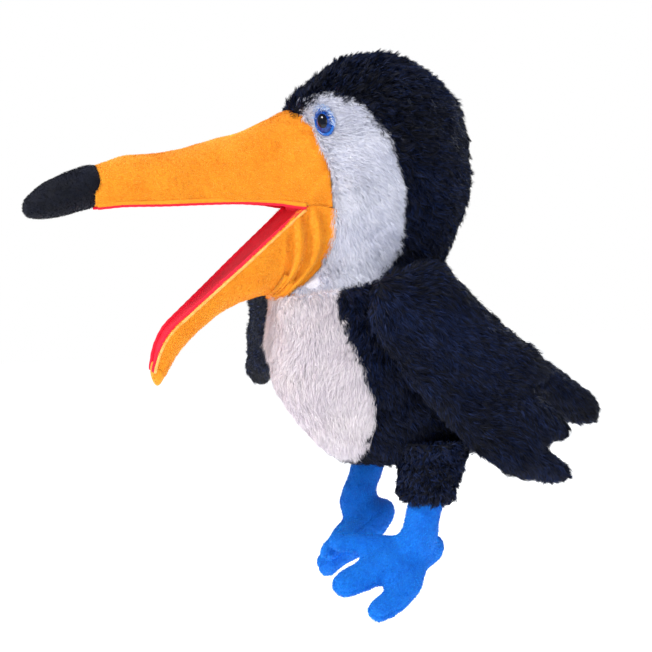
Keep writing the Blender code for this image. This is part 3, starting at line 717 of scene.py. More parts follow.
def Hv(v):
    """Head-frame direction to the row frame."""
    v = np.asarray(v, float)
    c, s = math.cos(YAW), math.sin(YAW)
    return np.stack((c * v[..., 0] - s * v[..., 1], s * v[..., 0] + c * v[..., 1], v[..., 2]), -1)


def comb_head(P):
    c = Hd(HEAD_C)
    beak = Hd((0, -60, 110))
    away = unit(P - beak)
    return away * 1.0 + np.array((0, 0, -0.55))


HEAD_CW = Hd(HEAD_C)
# the black fibre list carries the painted highlight shade of the black pile
white_mats, black_and_highlight_mats = WHITE_FUR, BLACK_FUR_WITH_HIGHLIGHT
for side, tag in ((1, "left"), (-1, "right")):
    G = face_grid(side)
    G = Hd(G)
    N = grid_normals(G)
    if ((G - HEAD_CW) * N).sum() < 0:
        N = -N
    G = G + N * (fbm(G, 0.028, 3, 11)[..., None] * 0.0012)
    face = skin("face_plush_" + tag, G, 0.005, out_point=HEAD_CW)
    add_mat(face, WHITE_BASE)
    pile = fur("face_pile_" + tag, face, 60000, 0.0070, 0.00040, comb_head, lift=0.42, clump=0.40, clump_size=0.0035,
               curl=0.12, mats=white_mats, seed=20 + side, bend=0.32,
               weight=lambda P, n: (((P - HEAD_CW) * n).sum(1) > 0.01) * 1.0)
    for o in (face, pile):
        neck_blend_head(o)
    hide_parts("face_panel_" + tag)

G = Hd(hood_grid())
N = grid_normals(G)
if ((G - HEAD_CW) * N).sum() < 0:
    N = -N
G = G + N * (fbm(G, 0.035, 3, 12)[..., None] * 0.0018)
hood = skin("hood_plush", G, 0.005, out_point=HEAD_CW)
add_mat(hood, BLACK_BASE)
hood_pile = fur("hood_pile", hood, 66000, 0.0072, 0.00055, comb_head, lift=0.50, clump=0.85, clump_size=0.0045, curl=0.35,
                mats=black_and_highlight_mats, seed=31, bend=0.3, weight=lambda P, n: (((P - HEAD_CW) * n).sum(1) > 0.01) * 1.0)
for o in (hood, hood_pile):
    neck_blend_head(o)
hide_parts("hood_panel_left", "hood_panel_right", "crown_panel", "crown_stuffing")

# ------------------------------------------------------------------ upper beak
BEAK = (   # y, ridge z, mouth z, half width
    (6, 160, 84.5, 40), (-4, 157, 84.5, 37.5), (-14, 154, 85, 35), (-24, 150.5, 85.5, 32.5), (-38, 144.5, 87.5, 29.5), (-60, 135.5, 88.5, 26.5),
    (-88, 127, 88, 24), (-115, 121, 87, 21.5), (-143, 117.8, 86.5, 19), (-160, 112.8, 84.8, 17.5), (-172, 110, 84, 17),
)
_by = np.array([r[0] for r in BEAK], float)


def beak_row(y):
    t = np.interp(-np.asarray(y), -_by, np.arange(len(_by)))
    return catmull(BEAK, t)


def beak_q(a, y, depth=0.0):
    r = beak_row(y)
    ridge, mouth, w = r[..., 1], r[..., 2], r[..., 3]
    c, s = np.cos(a), np.sin(a)
    px = np.sign(c) * np.abs(c) ** 0.82 * (w - depth)
    pz = mouth + np.clip(s, 0, 1) ** 0.9 * (ridge - depth - mouth)
    return np.stack((px, y + 0 * px, pz), -1)


def beak_seam_y(a):
    """Rear edge of the upper beak round its arch."""
    c = np.abs(np.cos(a))
    return -26.0 + 22.5 * np.clip(c, 0, 1) ** 0.8


nu, nv = 90, 150
a = np.linspace(0, np.pi, nu)[:, None]
k = np.linspace(0, 1, nv)[None, :] ** 0.95
Y = beak_seam_y(a) * (1 - k) + (-161.5) * k
G = Hd(beak_q(a + 0 * k, Y))
BEAK_C = Hd((0, -70, 96))
N = grid_normals(G)
mid_line = Hd(np.stack((0 * Y, Y, 0 * Y + 96), -1))
flip = np.sign(((G - mid_line) * N).sum(-1, keepdims=True))
N = N * np.where(flip == 0, 1, flip)
wr = fbm(G * np.array((1, 0.5, 1)), 0.020, 3, 41) * 0.0009 + fbm(G, 0.05, 2, 42) * 0.0012
root_wr = np.exp(-k * 9)
wr = wr + root_wr * 0.0010 * np.cos(a * 14 + 3 * fbm(G, 0.02, 2, 43))
G = G + N * wr[..., None]
upper = skin("upper_beak_velboa", G, 0.003, out_point=BEAK_C, round_edge=0.0012)
add_mat(upper, ORANGE)
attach(upper, "head")
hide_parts("upper_beak_cover", "beak_stuffing")
BEAK_AXIS = Hv((0, -1, 0))
up_nap = nap("upper_beak_nap", upper, 60000, lambda P: BEAK_AXIS + 0 * P, ORANGE_NAP, "orange_velboa", 201,
             weight=lambda P, n: (((P - BEAK_C - BEAK_AXIS * ((P - BEAK_C) @ BEAK_AXIS)[:, None]) * n).sum(1) > 0.004) * 1.0)
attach(up_nap, "head")

# palate: a red lining sheet tucked inside the edges, bowed a little upwards
nu, nv = 40, 110
u = np.linspace(-1, 1, nu)[:, None]
ys = np.linspace(HINGE[0] + 1.0, -157, nv)[None, :]
r = beak_row(ys + 0 * u)
x = u * (r[..., 3] - 0.8)
z = r[..., 2] - 0.9 + (1 - u ** 2) * 2.6 - smoothstep(0.80, 1.0, np.abs(u)) * 0.7
sag = fbm(np.stack((x, ys + 0 * u, z), -1), 26, 3, 44) * 0.7
G = Hd(np.stack((x, ys + 0 * u, z + sag), -1))
palate = skin("palate_felt", G, 0.0018, out_point=BEAK_C, round_edge=0.0006)
add_mat(palate, RED)
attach(palate, "head")
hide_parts("palate_lining")
cloth_sheet(palate, 0.066)

# ------------------------------------------------------------------ lower beak
JD = np.array((-math.cos(math.radians(42.5)), -math.sin(math.radians(42.5))))
JN = np.array((-JD[1], JD[0]))
if JN[1] > 0:
    JN = -JN
JAW = (   # distance from the hinge, depth, half width
    (0, 24, 31.5), (20, 28, 29.7), (35, 32, 28.4), (50, 32.5, 27.4), (60, 28.6, 26.3), (70, 22.0, 24.4), (84, 16.8, 22.3), (104, 15.0, 20),
    (124, 14.8, 17.4), (140, 13.9, 13.2), (150, 11.2, 9.2), (156, 6.4, 5.0),
)
_js = np.array([q[0] for q in JAW], float)


def jaw_at(s, d):
    """(y, z) in the head's frame at a distance s along the jaw and d towards its underside; its end droops."""
    d = d + 0.0125 * np.clip(s - 118.0, 0, None) ** 2
    return HINGE[0] + JD[0] * s + JN[0] * d, HINGE[1] + JD[1] * s + JN[1] * d


def jaw_q(a, s, off=0.0):
    t = np.interp(s, _js, np.arange(len(_js)))
    row = catmull(JAW, t)
    deep, w = row[..., 1], row[..., 2]
    c, q = np.cos(a), np.clip(np.sin(a), 0, 1)
    x = np.sign(c) * np.abs(c) ** 0.72 * (w - off)
    d = q ** 0.85 * (deep - off)
    y, z = jaw_at(s, d)
    return np.stack((x, y, z), -1)


nu, nv = 100, 170
a = np.linspace(0, np.pi, nu)
near = np.minimum(a, np.pi - a) / (np.pi / 2)      # 0 at the mouth edges, 1 at the keel
sgn = np.where(a <= np.pi / 2, 1.0, -1.0)
# the seam with the head: top at the mouth corner's level, down and forwards to the throat
seam_deg = np.interp(near, (0, .15, .3, .45, .6, .75, .9, 1), (43.5, 42.5, 39.5, 36, 34, 30.5, 13, 0))
seam_z = np.interp(near, (0, .15, .3, .45, .6, .75, .9, 1), (85.0, 70, 54, 40, 29, 20.5, 18.5, 18.0))
kern = np.ones(9) / 9
pad = lambda q: np.convolve(np.pad(q, 4, mode="edge"), kern, mode="valid")
seam_deg, seam_z = pad(seam_deg), pad(seam_z)
seam = head_ang(sgn * seam_deg, seam_z, 3.2)
ctrl = jaw_q(a, 22 + 36 * np.sin(a) ** 1.2)
corner = np.stack((np.sign(np.cos(a)) * 32.0, np.full(nu, HINGE[0]), np.full(nu, HINGE[1] + 0.5)), -1)
half = 0.5 * (seam + ctrl)
bump = np.exp(-(near * 90 / 20.0) ** 2)[:, None]
mid0 = half + (corner - half) * bump
outb = unit(half - np.array((0, -18, 55))) * (2.5 * np.sin(near * np.pi))[:, None]
mid0 = mid0 + outb * (1 - bump)
stations = [seam, mid0, ctrl]
s_end = 155.5
for f in np.linspace(0.16, 1.0, 10):
    s0 = 22 + 36 * np.sin(a) ** 1.2
    stations.append(jaw_q(a, s0 * (1 - f) + s_end * f))
ST = np.stack(stations, 1)           # nu, stations, 3
tt = np.concatenate((np.linspace(0, 2, 60, endpoint=False), np.linspace(2, ST.shape[1] - 1, nv - 60)))
G = np.stack([catmull(ST[i], tt) for i in range(nu)], 0)
Ncheek = grid_normals(G)
c0 = np.array((0, -22, 60))
axis_pts = G.mean(0, keepdims=True) + np.array((0, 0, 4.0))
fl = np.sign(((G - axis_pts) * Ncheek).sum(-1, keepdims=True))
Ncheek = Ncheek * np.where(fl == 0, 1, fl)
# gathers that fan down from the mouth corner
fan = np.clip(tt / 2.1, 0, 1)[None, :]
nearg = near[:, None]
pleat = np.sin(fan * np.pi * 6.4 + 1.3 * np.sin(nearg * 5) + 0.8 * nearg) * np.sin(np.clip(fan, 0, 1) * np.pi) ** 0.7
pleat = pleat * smoothstep(0.03, 0.16, nearg) * (1 - smoothstep(0.60, 0.95, nearg))
G = G + Ncheek * (pleat * 2.6)[..., None]
G = G + Ncheek * (fbm(G, 24, 3, 46) * 0.8 + fbm(G, 9, 2, 47) * 0.25)[..., None]
# into the row frame, with the shell's normals
G = Hd(G)
JAW_C = Hd((0, -50, 48))
Nw = grid_normals(G)
ax = G.mean(0, keepdims=True) + np.array((0, 0, 0.004))
fl = np.sign(((G - ax) * Nw).sum(-1, keepdims=True))


def shell_from(name, outer, normals, thick):
    nu, nv = outer.shape[:2]
    inner = outer - normals * thick
    verts = np.concatenate((outer.reshape(-1, 3), inner.reshape(-1, 3)))
    m = nu * nv
    faces = grid_faces(nu, nv) + grid_faces(nu, nv, off=m, flip=True)
    for i in range(nu - 1):
        faces.append(((i + 1) * nv, i * nv, m + i * nv, m + (i + 1) * nv))
        faces.append((i * nv + nv - 1, (i + 1) * nv + nv - 1, m + (i + 1) * nv + nv - 1, m + i * nv + nv - 1))
    for j in range(nv - 1):
        faces.append((j, j + 1, m + j + 1, m + j))
        q = (nu - 1) * nv
        faces.append((q + j + 1, q + j, m + q + j, m + q + j + 1))
    ob = mesh_from(name, verts, faces)
    outward(ob)
    return ob


Nw = Nw * np.where(fl == 0, 1, fl)
lower = shell_from("lower_beak_velboa", G, Nw, 0.0028)
add_mat(lower, ORANGE)
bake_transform(lower)
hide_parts("lower_beak_cover", "cheek_gusset_left", "cheek_gusset_right")
JAW_AXIS = Hv((0, JD[0], JD[1]))
_mid = Hd(np.stack((0 * tt, *jaw_at(np.interp(tt, (0, 2, tt[-1]), (8, 44, 155)), 0 * tt + 6.0)), -1))


def under_only(P, n):
    k = np.argmin(((P[:, None] - _mid[None, ::6]) ** 2).sum(-1), 1)
    return (((P - _mid[::6][k]) * n).sum(1) > 0.003) * 1.0


low_nap = nap("lower_beak_nap", lower, 42000, lambda P: JAW_AXIS + 0 * P, ORANGE_NAP, "orange_velboa", 203, weight=under_only)
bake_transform(low_nap)

# the jaw's tip: a small stuffed end that closes the two edges
tip_rings = []
for q, wq, up, dn in ((146, 10.0, -1.2, 12.0), (149, 9.6, -2.2, 11.2), (152, 8.2, -2.4, 9.8), (154.6, 6.2, -1.4, 8.2), (156.4, 3.6, 0.8, 6.0), (157.0, 1.2, 2.4, 4.2)):
    th = np.linspace(0, 2 * np.pi, 28, endpoint=False)
    y, z = jaw_at(q, (up + dn) / 2 + (dn - up) / 2 * np.sin(th))
    tip_rings.append(np.stack((wq * np.cos(th), y, z), -1))
jt = tube_rings("lower_beak_end", Hd(np.array(tip_rings)))
add_mat(jt, ORANGE)
subdivide(jt, 1)
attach(jt, "jaw")

# lining of the lower beak
nu, nv = 44, 120
u = np.linspace(-1, 1, nu)[:, None]
ss = np.linspace(-1.0, 152, nv)[None, :]
row = catmull(JAW, np.interp(ss + 0 * u, _js, np.arange(len(_js))))
x = u * (row[..., 2] - 1.0) + 0 * ss
dd = -0.6 + (1 - u ** 2) * 2.4 - smoothstep(0.80, 1.0, np.abs(u)) * 0.9 + 0 * ss
dd = dd + fbm(np.stack((x, ss + 0 * u, dd), -1), 24, 3, 48) * 0.6
jy, jz = jaw_at(ss + 0 * u, dd)
G = Hd(np.stack((x, jy, jz), -1))
jl = skin("lower_lining_felt", G, 0.0018, out_point=Hd((0, -100, -60)), round_edge=0.0006)
add_mat(jl, RED)
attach(jl, "jaw")
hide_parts("jaw_lining")
cloth_sheet(jl, 0.066)

# fold of lining at the mouth corner
th = np.linspace(0, 2 * np.pi, 20, endpoint=False)
rings = []
for xx in np.linspace(-30.5, 30.5, 40):
    rr = 2.5 + 0.3 * math.sin(xx * 0.5)
    rings.append(np.stack((0 * th + xx, HINGE[0] + 1.4 + rr * np.cos(th), HINGE[1] - 0.2 + rr * np.sin(th)), -1))
fold = tube_rings("mouth_fold_felt", Hd(np.array(rings)))
add_mat(fold, RED)
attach(fold, "head")


# rolled edges along the mouth
def cord_edge(name, path, radius, mat, body, blend=None, ripple=0.12):
    path = np.asarray(path, float)
    t = unit(np.gradient(path, axis=0))
    ref = np.array((0.3, 0.2, 0.93))
    n1 = unit(np.cross(t, ref))
    n2 = np.cross(t, n1)
    th = np.linspace(0, 2 * np.pi, 12, endpoint=False)
    rr = radius * (1 + ripple * np.sin(np.arange(len(path)) * 1.3))[:, None, None]
    R = path[:, None] + rr * (n1[:, None] * np.cos(th)[None, :, None] + n2[:, None] * np.sin(th)[None, :, None])
    o = tube_rings(name, R)
    add_mat(o, mat)
    if blend:
        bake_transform(o)
    else:
        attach(o, body)
    return o


for side, tag in ((1, "left"), (-1, "right")):
    ys = np.linspace(HINGE[0], -160, 120)
    row = beak_row(ys)
    path = Hd(np.stack((side * (row[:, 3] - 1.1), ys, row[:, 2] + 0.5), -1))
    cord_edge("upper_edge_" + tag, path, 0.0016, ORANGE, "head", ripple=0.05)
    path = Hd(np.stack((side * (row[:, 3] - 1.5), ys, row[:, 2] - 1.2), -1))
    cord_edge("upper_lining_edge_" + tag, path, 0.0013, RED, "head", ripple=0.06)
    ss = np.linspace(1, 151.5, 120)
    row = catmull(JAW, np.interp(ss, _js, np.arange(len(_js))))
    jy, jz = jaw_at(ss, np.full_like(ss, 1.1))
    path = Hd(np.stack((side * (row[:, 2] - 0.4), jy, jz), -1))
    cord_edge("lower_edge_" + tag, path, 0.0010, PIPING, "jaw", ripple=0.08)
    jy, jz = jaw_at(ss, np.full_like(ss, -0.2))
    path = Hd(np.stack((side * (row[:, 2] - 1.9), jy, jz), -1))
    cord_edge("lower_lining_edge_" + tag, path, 0.0017, RED, "jaw", ripple=0.06)

# ------------------------------------------------------------------ beak tip
rows = ((-157.5, 110.5, 87.0, 15.6), (-160.5, 113.0, 84.6, 17.6), (-164, 112.2, 82.8, 18.0), (-172, 110.0, 80.6, 17.8), (-182, 106.6, 78.2, 16.6),
        (-192, 101.8, 76.4, 14.4), (-200, 96.4, 75.8, 11.6), (-205.5, 91.6, 77.0, 8.0), (-208.2, 87.2, 79.6, 4.0))
rings = []
for y, top, low, w in rows:
    mid, h = (top + low) / 2, (top - low) / 2
    th = np.linspace(0, 2 * np.pi, 32, endpoint=False)
    rings.append(np.stack((w * np.cos(th), 0 * th + y, mid + h * np.sin(th)), -1))
tip = tube_rings("beak_tip_velboa", Hd(np.array(rings)))
inflate(tip, voxel=0.0028, pressure=2.0, cap=0.0022)
relax(tip, 2)
subdivide(tip, 1)
co, vn = coords(tip), vert_normals(tip)
set_coords(tip, co + vn * (fbm(co, 0.016, 3, 51) * 0.0007)[:, None])
add_mat(tip, TIP)
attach(tip, "head")
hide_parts("beak_tip")
tip_nap = nap("beak_tip_nap", tip, 12000, lambda P: BEAK_AXIS + 0 * P, TIP_NAP, "black_velboa", 205)
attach(tip_nap, "head")

# ------------------------------------------------------------------ eyes
EYE_DEG, EYE_Z = 43.0, 142.0
iris_m, nt, b = principled("eye_blue_gloss", Roughness=0.12)
b.inputs["Specular IOR Level"].default_value = 0.25
tc = node(nt, "ShaderNodeTexCoord")
nz = node(nt, "ShaderNodeTexNoise", Scale=500.0, Detail=4.0, Roughness=0.6)
nt.links.new(tc.outputs["Object"], nz.inputs["Vector"])
rp = node(nt, "ShaderNodeValToRGB")
rp.color_ramp.elements[0].position = 0.35
rp.color_ramp.elements[0].color = (0.001, 0.012, 0.10, 1)
rp.color_ramp.elements[1].position = 0.7
rp.color_ramp.elements[1].color = (0.004, 0.07, 0.38, 1)
nt.links.new(nz.outputs["Fac"], rp.inputs["Fac"])
nt.links.new(rp.outputs["Color"], b.inputs["Base Color"])
b.inputs["Coat Weight"].default_value = 0.2
b.inputs["Coat Roughness"].default_value = 0.03
pupil_m, nt, b = principled("eye_pupil_gloss", Roughness=0.12)
b.inputs["Specular IOR Level"].default_value = 0.18
tc = node(nt, "ShaderNodeTexCoord")
nz = node(nt, "ShaderNodeTexNoise", Scale=300.0, Detail=3.0)
nt.links.new(tc.outputs["Object"], nz.inputs["Vector"])
rp = node(nt, "ShaderNodeValToRGB")
rp.color_ramp.elements[0].color = (0.001, 0.0012, 0.003, 1)
rp.color_ramp.elements[1].color = (0.004, 0.006, 0.016, 1)
nt.links.new(nz.outputs["Fac"], rp.inputs["Fac"])
nt.links.new(rp.outputs["Color"], b.inputs["Base Color"])
b.inputs["Coat Weight"].default_value = 0.2
b.inputs["Coat Roughness"].default_value = 0.02


def eye_frame(side):
    p = head_ang(np.array(side * EYE_DEG), np.array(EYE_Z), 0.0)
    q = head_ang(np.array(side * (EYE_DEG + 2)), np.array(EYE_Z), 0.0) - head_ang(np.array(side * (EYE_DEG - 2)), np.array(EYE_Z), 0.0)
    r = head_ang(np.array(side * EYE_DEG), np.array(EYE_Z + 3), 0.0) - head_ang(np.array(side * EYE_DEG), np.array(EYE_Z - 3), 0.0)
    n = unit(np.cross(q, r))
    if n[0] * side < 0:
        n = -n
    n = unit(n + np.array((0, -0.15, 0.05)))
    x = unit(q - n * (q @ n))
    y = np.cross(n, x)
    return Hd(p), Hv(x), Hv(y), Hv(n)


def dome(name, o, x, y, n, radius, base, height, mat, r0=0.0):
    rings = []
    for f in np.linspace(r0, 1.0, 14):
        r = radius * math.cos(f * math.pi / 2 * 0.94)
        h = base + height * math.sin(f * math.pi / 2)
        th = np.linspace(0, 2 * np.pi, 36, endpoint=False)
        rings.append(o + x * (r * np.cos(th))[:, None] + y * (r * np.sin(th))[:, None] + n * h)
    ob = tube_rings(name, np.array(rings))
    add_mat(ob, mat)
    return ob


rim_m, nt, b = principled("eye_rim_gloss", Roughness=0.22)
tc = node(nt, "ShaderNodeTexCoord")
nz = node(nt, "ShaderNodeTexNoise", Scale=700.0, Detail=4.0, Roughness=0.6)
nt.links.new(tc.outputs["Object"], nz.inputs["Vector"])
rp = node(nt, "ShaderNodeValToRGB")
rp.color_ramp.elements[0].position = 0.3
rp.color_ramp.elements[0].color = (0.001, 0.035, 0.24, 1)
rp.color_ramp.elements[1].position = 0.7
rp.color_ramp.elements[1].color = (0.006, 0.15, 0.58, 1)
nt.links.new(nz.outputs["Fac"], rp.inputs["Fac"])
nt.links.new(rp.outputs["Color"], b.inputs["Base Color"])
LASH = [fibre_material("lash_fibre_%d" % i, c, 0.5, 0.2) for i, c in enumerate(((0.22, 0.42, 0.80), (0.66, 0.78, 0.96), (0.94, 0.95, 0.99)))]
for side, tag in ((1, "left"), (-1, "right")):
    o, x, y, n = eye_frame(side)
    lean = math.radians(24) * side
    x, y = x * math.cos(lean) + y * math.sin(lean), y * math.cos(lean) - x * math.sin(lean)
    xo, yo = x * 0.86, y * 1.14
    ball = dome("eye_ball_" + tag, o, xo, yo, n, 0.0080, -0.0022, 0.0056, iris_m)
    pup = dome("eye_pupil_" + tag, o - n * 0.0004, xo, yo, n, 0.0056, 0.0008, 0.0036, pupil_m)
    th = np.linspace(0, 2 * np.pi, 40, endpoint=False)
    rings = []
    for q in np.linspace(0, 2 * np.pi, 12, endpoint=False):
        r = 0.0081 + 0.0010 * math.cos(q)
        rings.append(o + xo * (r * np.cos(th))[:, None] + yo * (r * np.sin(th))[:, None] + n * (-0.0004 + 0.0012 * math.sin(q)))
    R = np.array(rings)
    m = R.shape[1]
    fs = [(a * m + k, a * m + (k + 1) % m, ((a + 1) % 12) * m + (k + 1) % m, ((a + 1) % 12) * m + k) for a in range(12) for k in range(m)]
    rim = mesh_from("eye_rim_" + tag, R.reshape(-1, 3), fs)
    outward(rim)
    add_mat(rim, rim_m)
    verts, faces, mi = [], [], []
    rl = np.random.default_rng(140 + side)
    for k in range(150):
        a0 = rl.uniform(math.radians(-40), math.radians(150)) if side > 0 else rl.uniform(math.radians(30), math.radians(220))
        r0 = 0.0088 + rl.uniform(0, 0.0012)
        root = o + xo * (r0 * math.cos(a0)) + yo * (r0 * math.sin(a0)) - n * 0.0010
        inward = -(xo * math.cos(a0) + yo * math.sin(a0))
        d = unit(n * 0.9 + inward * rl.uniform(-0.35, 0.75) + y * 0.25)
        L = 0.0042 + rl.uniform(0, 0.0026)
        sd = unit(np.cross(d, n + 0.3 * rl.normal(size=3))) * 0.00018
        mid = root + d * L * 0.55
        tip_p = root + d * L * 0.8 + inward * L * rl.uniform(0.0, 0.4)
        bse = len(verts)
        verts += [root - sd, root + sd, mid - sd * 0.8, mid + sd * 0.8, tip_p]
        faces += [(bse, bse + 1, bse + 3, bse + 2), (bse + 2, bse + 3, bse + 4)]
        c = int(rl.integers(0, 3))
        mi += [c, c]
    lash = mesh_from("eye_lashes_" + tag, verts, faces)
    for m_ in LASH:
        lash.data.materials.append(m_)
    lash.data.polygons.foreach_set("material_index", mi)
    for q in (ball, pup, rim, lash):
        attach(q, "head")
    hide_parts("eye_" + tag)

# ------------------------------------------------------------------ torso
TORSO = (   # front (y, z), back (y, z), half width; from the neck seam to the arm opening
    (-39.5, 21, 90, 50, 49), (-43.5, 6, 101, 33, 55), (-44, -14, 112, 20, 61), (-39, -40, 125, 7, 65.5), (-29, -62, 138, -5, 66.5),
    (-13, -84, 149, -14, 64.5), (12, -97.5, 157, -24, 60.5), (48, -101, 162, -33, 54), (85, -100, 166, -43, 46),
)


def torso_q(deg, t, depth):
    r = catmull(TORSO, t)
    fy, fz, by, bz, w = (r[..., i] for i in range(5))
    cy, cz = (fy + by) / 2, (fz + bz) / 2
    b = np.hypot(fy - by, fz - bz) / 2
    ey, ez = (fy - cy) / b, (fz - cz) / b
    a = np.radians(deg)
    return np.stack(((w - depth) * np.sin(a), cy + ey * (b - depth) * np.cos(a), cz + ez * (b - depth) * np.cos(a)), -1)


BIB_T = (0, 1, 2, 3, 4, 4.6, 5.1, 5.45, 5.7, 5.86)
BIB_D = (54, 56, 58, 59, 57, 52, 43, 33, 21, 5)
TORSO_C = W((0, 55, -35))


def comb_down(P):
    return np.array((0.0, 0.25, -1.0)) + 0 * P


nu, nv = 90, 100
v = np.linspace(0, 1, nv)[None, :]
T = 5.86 * v
Bd = np.interp(T, BIB_T, BIB_D)
u = np.linspace(-1, 1, nu)[:, None]
G = W(torso_q(u * Bd, T + 0 * u, FUR_IN + 3.2 * np.cos(np.radians(u * Bd * 1.5)) * smoothstep(0.0, 1.2, T)))
N = grid_normals(G)
if ((G - TORSO_C) * N).sum() < 0:
    N = -N
G = G + N * (fbm(G, 0.04, 3, 61) * 0.0022)[..., None]
bib = skin("belly_plush", G, 0.005, out_point=TORSO_C)
add_mat(bib, WHITE_BASE)
bib_pile = fur("belly_pile", bib, 66000, 0.0075, 0.00042, comb_down, lift=0.40, clump=0.42, clump_size=0.0040, curl=0.12,
               mats=BIB_FUR, seed=63, bend=0.3, weight=lambda P, n: (((P - TORSO_C) * n).sum(1) > 0.01) * 1.0)
for o in (bib, bib_pile):
    neck_blend_torso(o)
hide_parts("belly_panel", "belly_stuffing")

for side, tag in ((1, "left"), (-1, "right")):
    nu, nv = 80, 120
    v = np.linspace(0, 1, nv)[None, :]
    T = 8.0 * v
    Bd = np.where(T < 5.86, np.interp(T, BIB_T, BIB_D), 0.3)
    u = np.linspace(0, 1, nu)[:, None]
    deg = Bd * (1 - u) + 179.7 * u
    G = W(torso_q(side * deg, T + 0 * u, FUR_IN))
    N = grid_normals(G)
    if ((G - TORSO_C) * N).sum() < 0:
        N = -N
    G = G + N * (fbm(G, 0.045, 3, 64) * 0.0025)[..., None]
    flank = skin("side_plush_" + tag, G, 0.005, out_point=TORSO_C)
    add_mat(flank, BLACK_BASE)
    pile = fur("side_pile_" + tag, flank, 60000, 0.0075, 0.00058, comb_down, lift=0.42, clump=0.7, clump_size=0.005, curl=0.25,
               mats=black_and_highlight_mats, seed=66 + side, bend=0.3, weight=lambda P, n: (((P - TORSO_C) * n).sum(1) > 0.01) * 1.0)
    for o in (flank, pile):
        neck_blend_torso(o)
    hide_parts("side_panel_" + tag, *(("back_panel", "under_panel") if side > 0 else ()))

# the collar's white backing is the white backing made darker and with less sheen: painted shade for the gap under the
# neck seam
COLLAR_PAINTED_SHADE_WHITE = pile_material("white_collar_painted_shade", (0.46, 0.46, 0.54), (0.56, 0.56, 0.64), scale=600, patch=45, sheen=0.1, dist=0.001)
# plush collar under the neck seam: keeps the neck closed when the head tips
for nm, d0, d1, mat, slot_name in (("neck_collar_white", -56.0, 56.0, COLLAR_PAINTED_SHADE_WHITE, "white_plush"), ("neck_collar_black", 55.0, 305.0, BLACK_BASE, "black_plush")):
    th = np.linspace(d0, d1, 60)[:, None]
    kz = np.linspace(0, 1, 26)[None, :]
    lowp = torso_q(th + 0 * kz, 0.55 + 0 * th + 0 * kz, FUR_IN + 2.4)
    sgn_ = np.where(th > 180, th - 360, th)
    upp = head_ang(sgn_ + 0 * kz, 0 * th + 0 * kz + 40.0, FUR_IN + 1.6)
    base = head_ang(sgn_ + 0 * kz, 0 * th + 0 * kz + 24.0, FUR_IN + 1.6)
    upp[..., 2] = neck_plane_z(base[..., 1]) + 16.0
    A, B = W(lowp), Hd(upp)
    G = A * (1 - kz[..., None]) + B * kz[..., None]
    G = G + (fbm(G, 0.02, 2, 121) * 0.0006)[..., None]
    collar = skin(nm, G, 0.003, out_point=W((0, 25, 30)))
    add_mat(collar, mat)
    neck_blend_head(collar)

# ------------------------------------------------------------------ wings
WING = (
    (-6, 8), (-2, 20), (12, 27), (38, 33), (64, 14), (89, -6), (114, -26), (127, -41), (122, -50),
    (110, -52), (128, -66), (144, -84), (142, -93), (123, -97), (133, -108), (143, -119), (129, -126),
    (92, -115), (60, -90), (30, -62), (4, -26), (-6, -8),
)


def pad_mesh(name, outline, thick, place, edge=10.0, step=3.0):
    """A stuffed panel: a flat outline filled with a grid, as thick as the distance to its seam allows."""
    o = smooth_outline(outline, 8)
    lo, hi = o.min(0) - step, o.max(0) + step
    xs, ys = np.arange(lo[0], hi[0] + step, step), np.arange(lo[1], hi[1] + step, step)
    X, Y = np.meshgrid(xs, ys, indexing="ij")
    Q = np.stack((X, Y), -1).reshape(-1, 2)
    a, b = o, np.roll(o, -1, 0)
    inside = np.zeros(len(Q), bool)
    for p, q in zip(a, b):
        cross = ((p[1] > Q[:, 1]) != (q[1] > Q[:, 1]))
        xi = (q[0] - p[0]) * (Q[:, 1] - p[1]) / (q[1] - p[1] + 1e-12) + p[0]
        inside ^= cross & (Q[:, 0] < xi)
    d = np.full(len(Q), 1e9)
    for p, q in zip(a, b):
        e = q - p
        t = np.clip(((Q - p) @ e) / max(e @ e, 1e-9), 0, 1)
        d = np.minimum(d, np.linalg.norm(Q - p - t[:, None] * e, axis=1))
    sd = np.where(inside, d, -d).reshape(X.shape)
    keep = sd > -step * 1.2
    h = thick / 2 * np.sqrt(np.clip(1 - (1 - np.clip(sd, 0, edge) / edge) ** 2, 0.0, 1)) + 0.7
    bm = bmesh.new()
    top, bot = {}, {}
    for i in range(X.shape[0]):
        for j in range(X.shape[1]):
            if keep[i, j]:
                x, y = X[i, j], Y[i, j]
                if sd[i, j] < 0:     # pull the outermost points on to the outline
                    e = o[np.argmin(((o - (x, y)) ** 2).sum(1))]
                    x, y = e
                top[i, j] = bm.verts.new(place(x, y, h[i, j]))
                bot[i, j] = bm.verts.new(place(x, y, -h[i, j]))
    def quad(d, i, j, rev):
        c = [(i, j), (i + 1, j), (i + 1, j + 1), (i, j + 1)]
        if all(k in d for k in c):
            f = [d[k] for k in c]
            try:
                bm.faces.new(f[::-1] if rev else f)
            except ValueError:
                pass
    for i in range(X.shape[0] - 1):
        for j in range(X.shape[1] - 1):
            quad(top, i, j, False)
            quad(bot, i, j, True)
    edges = [e for e in bm.edges if len(e.link_faces) == 1]
    half = [e for e in edges if e.verts[0] in set(top.values())]
    inv = {v: k for k, v in top.items()}
    for e in half:
        ka, kb = inv.get(e.verts[0]), inv.get(e.verts[1])
        if ka is None or kb is None:
            continue
        try:
            bm.faces.new((e.verts[0], e.verts[1], bot[kb], bot[ka]))
        except ValueError:
            pass
    loose = [v for v in bm.verts if not v.link_faces]
    bmesh.ops.delete(bm, geom=loose, context="VERTS")
    bmesh.ops.recalc_face_normals(bm, faces=bm.faces)
    me = bpy.data.meshes.new(name)
    bm.to_mesh(me)
    bm.free()
    ob = bpy.data.objects.new(name, me)
    bpy.context.scene.collection.objects.link(ob)
    return ob


def wing_matrix(side):
    flare, rise = (10.0, 0.0) if side > 0 else (74.0, 18.0)
    rot = Matrix.Rotation(math.radians(-flare if side > 0 else flare), 4, "Z") @ Matrix.Rotation(math.radians(rise), 4, "X")
    m = Matrix.Translation(Vector(W((side * 62.0, 5.0, 15.0)))) @ rot
    return m


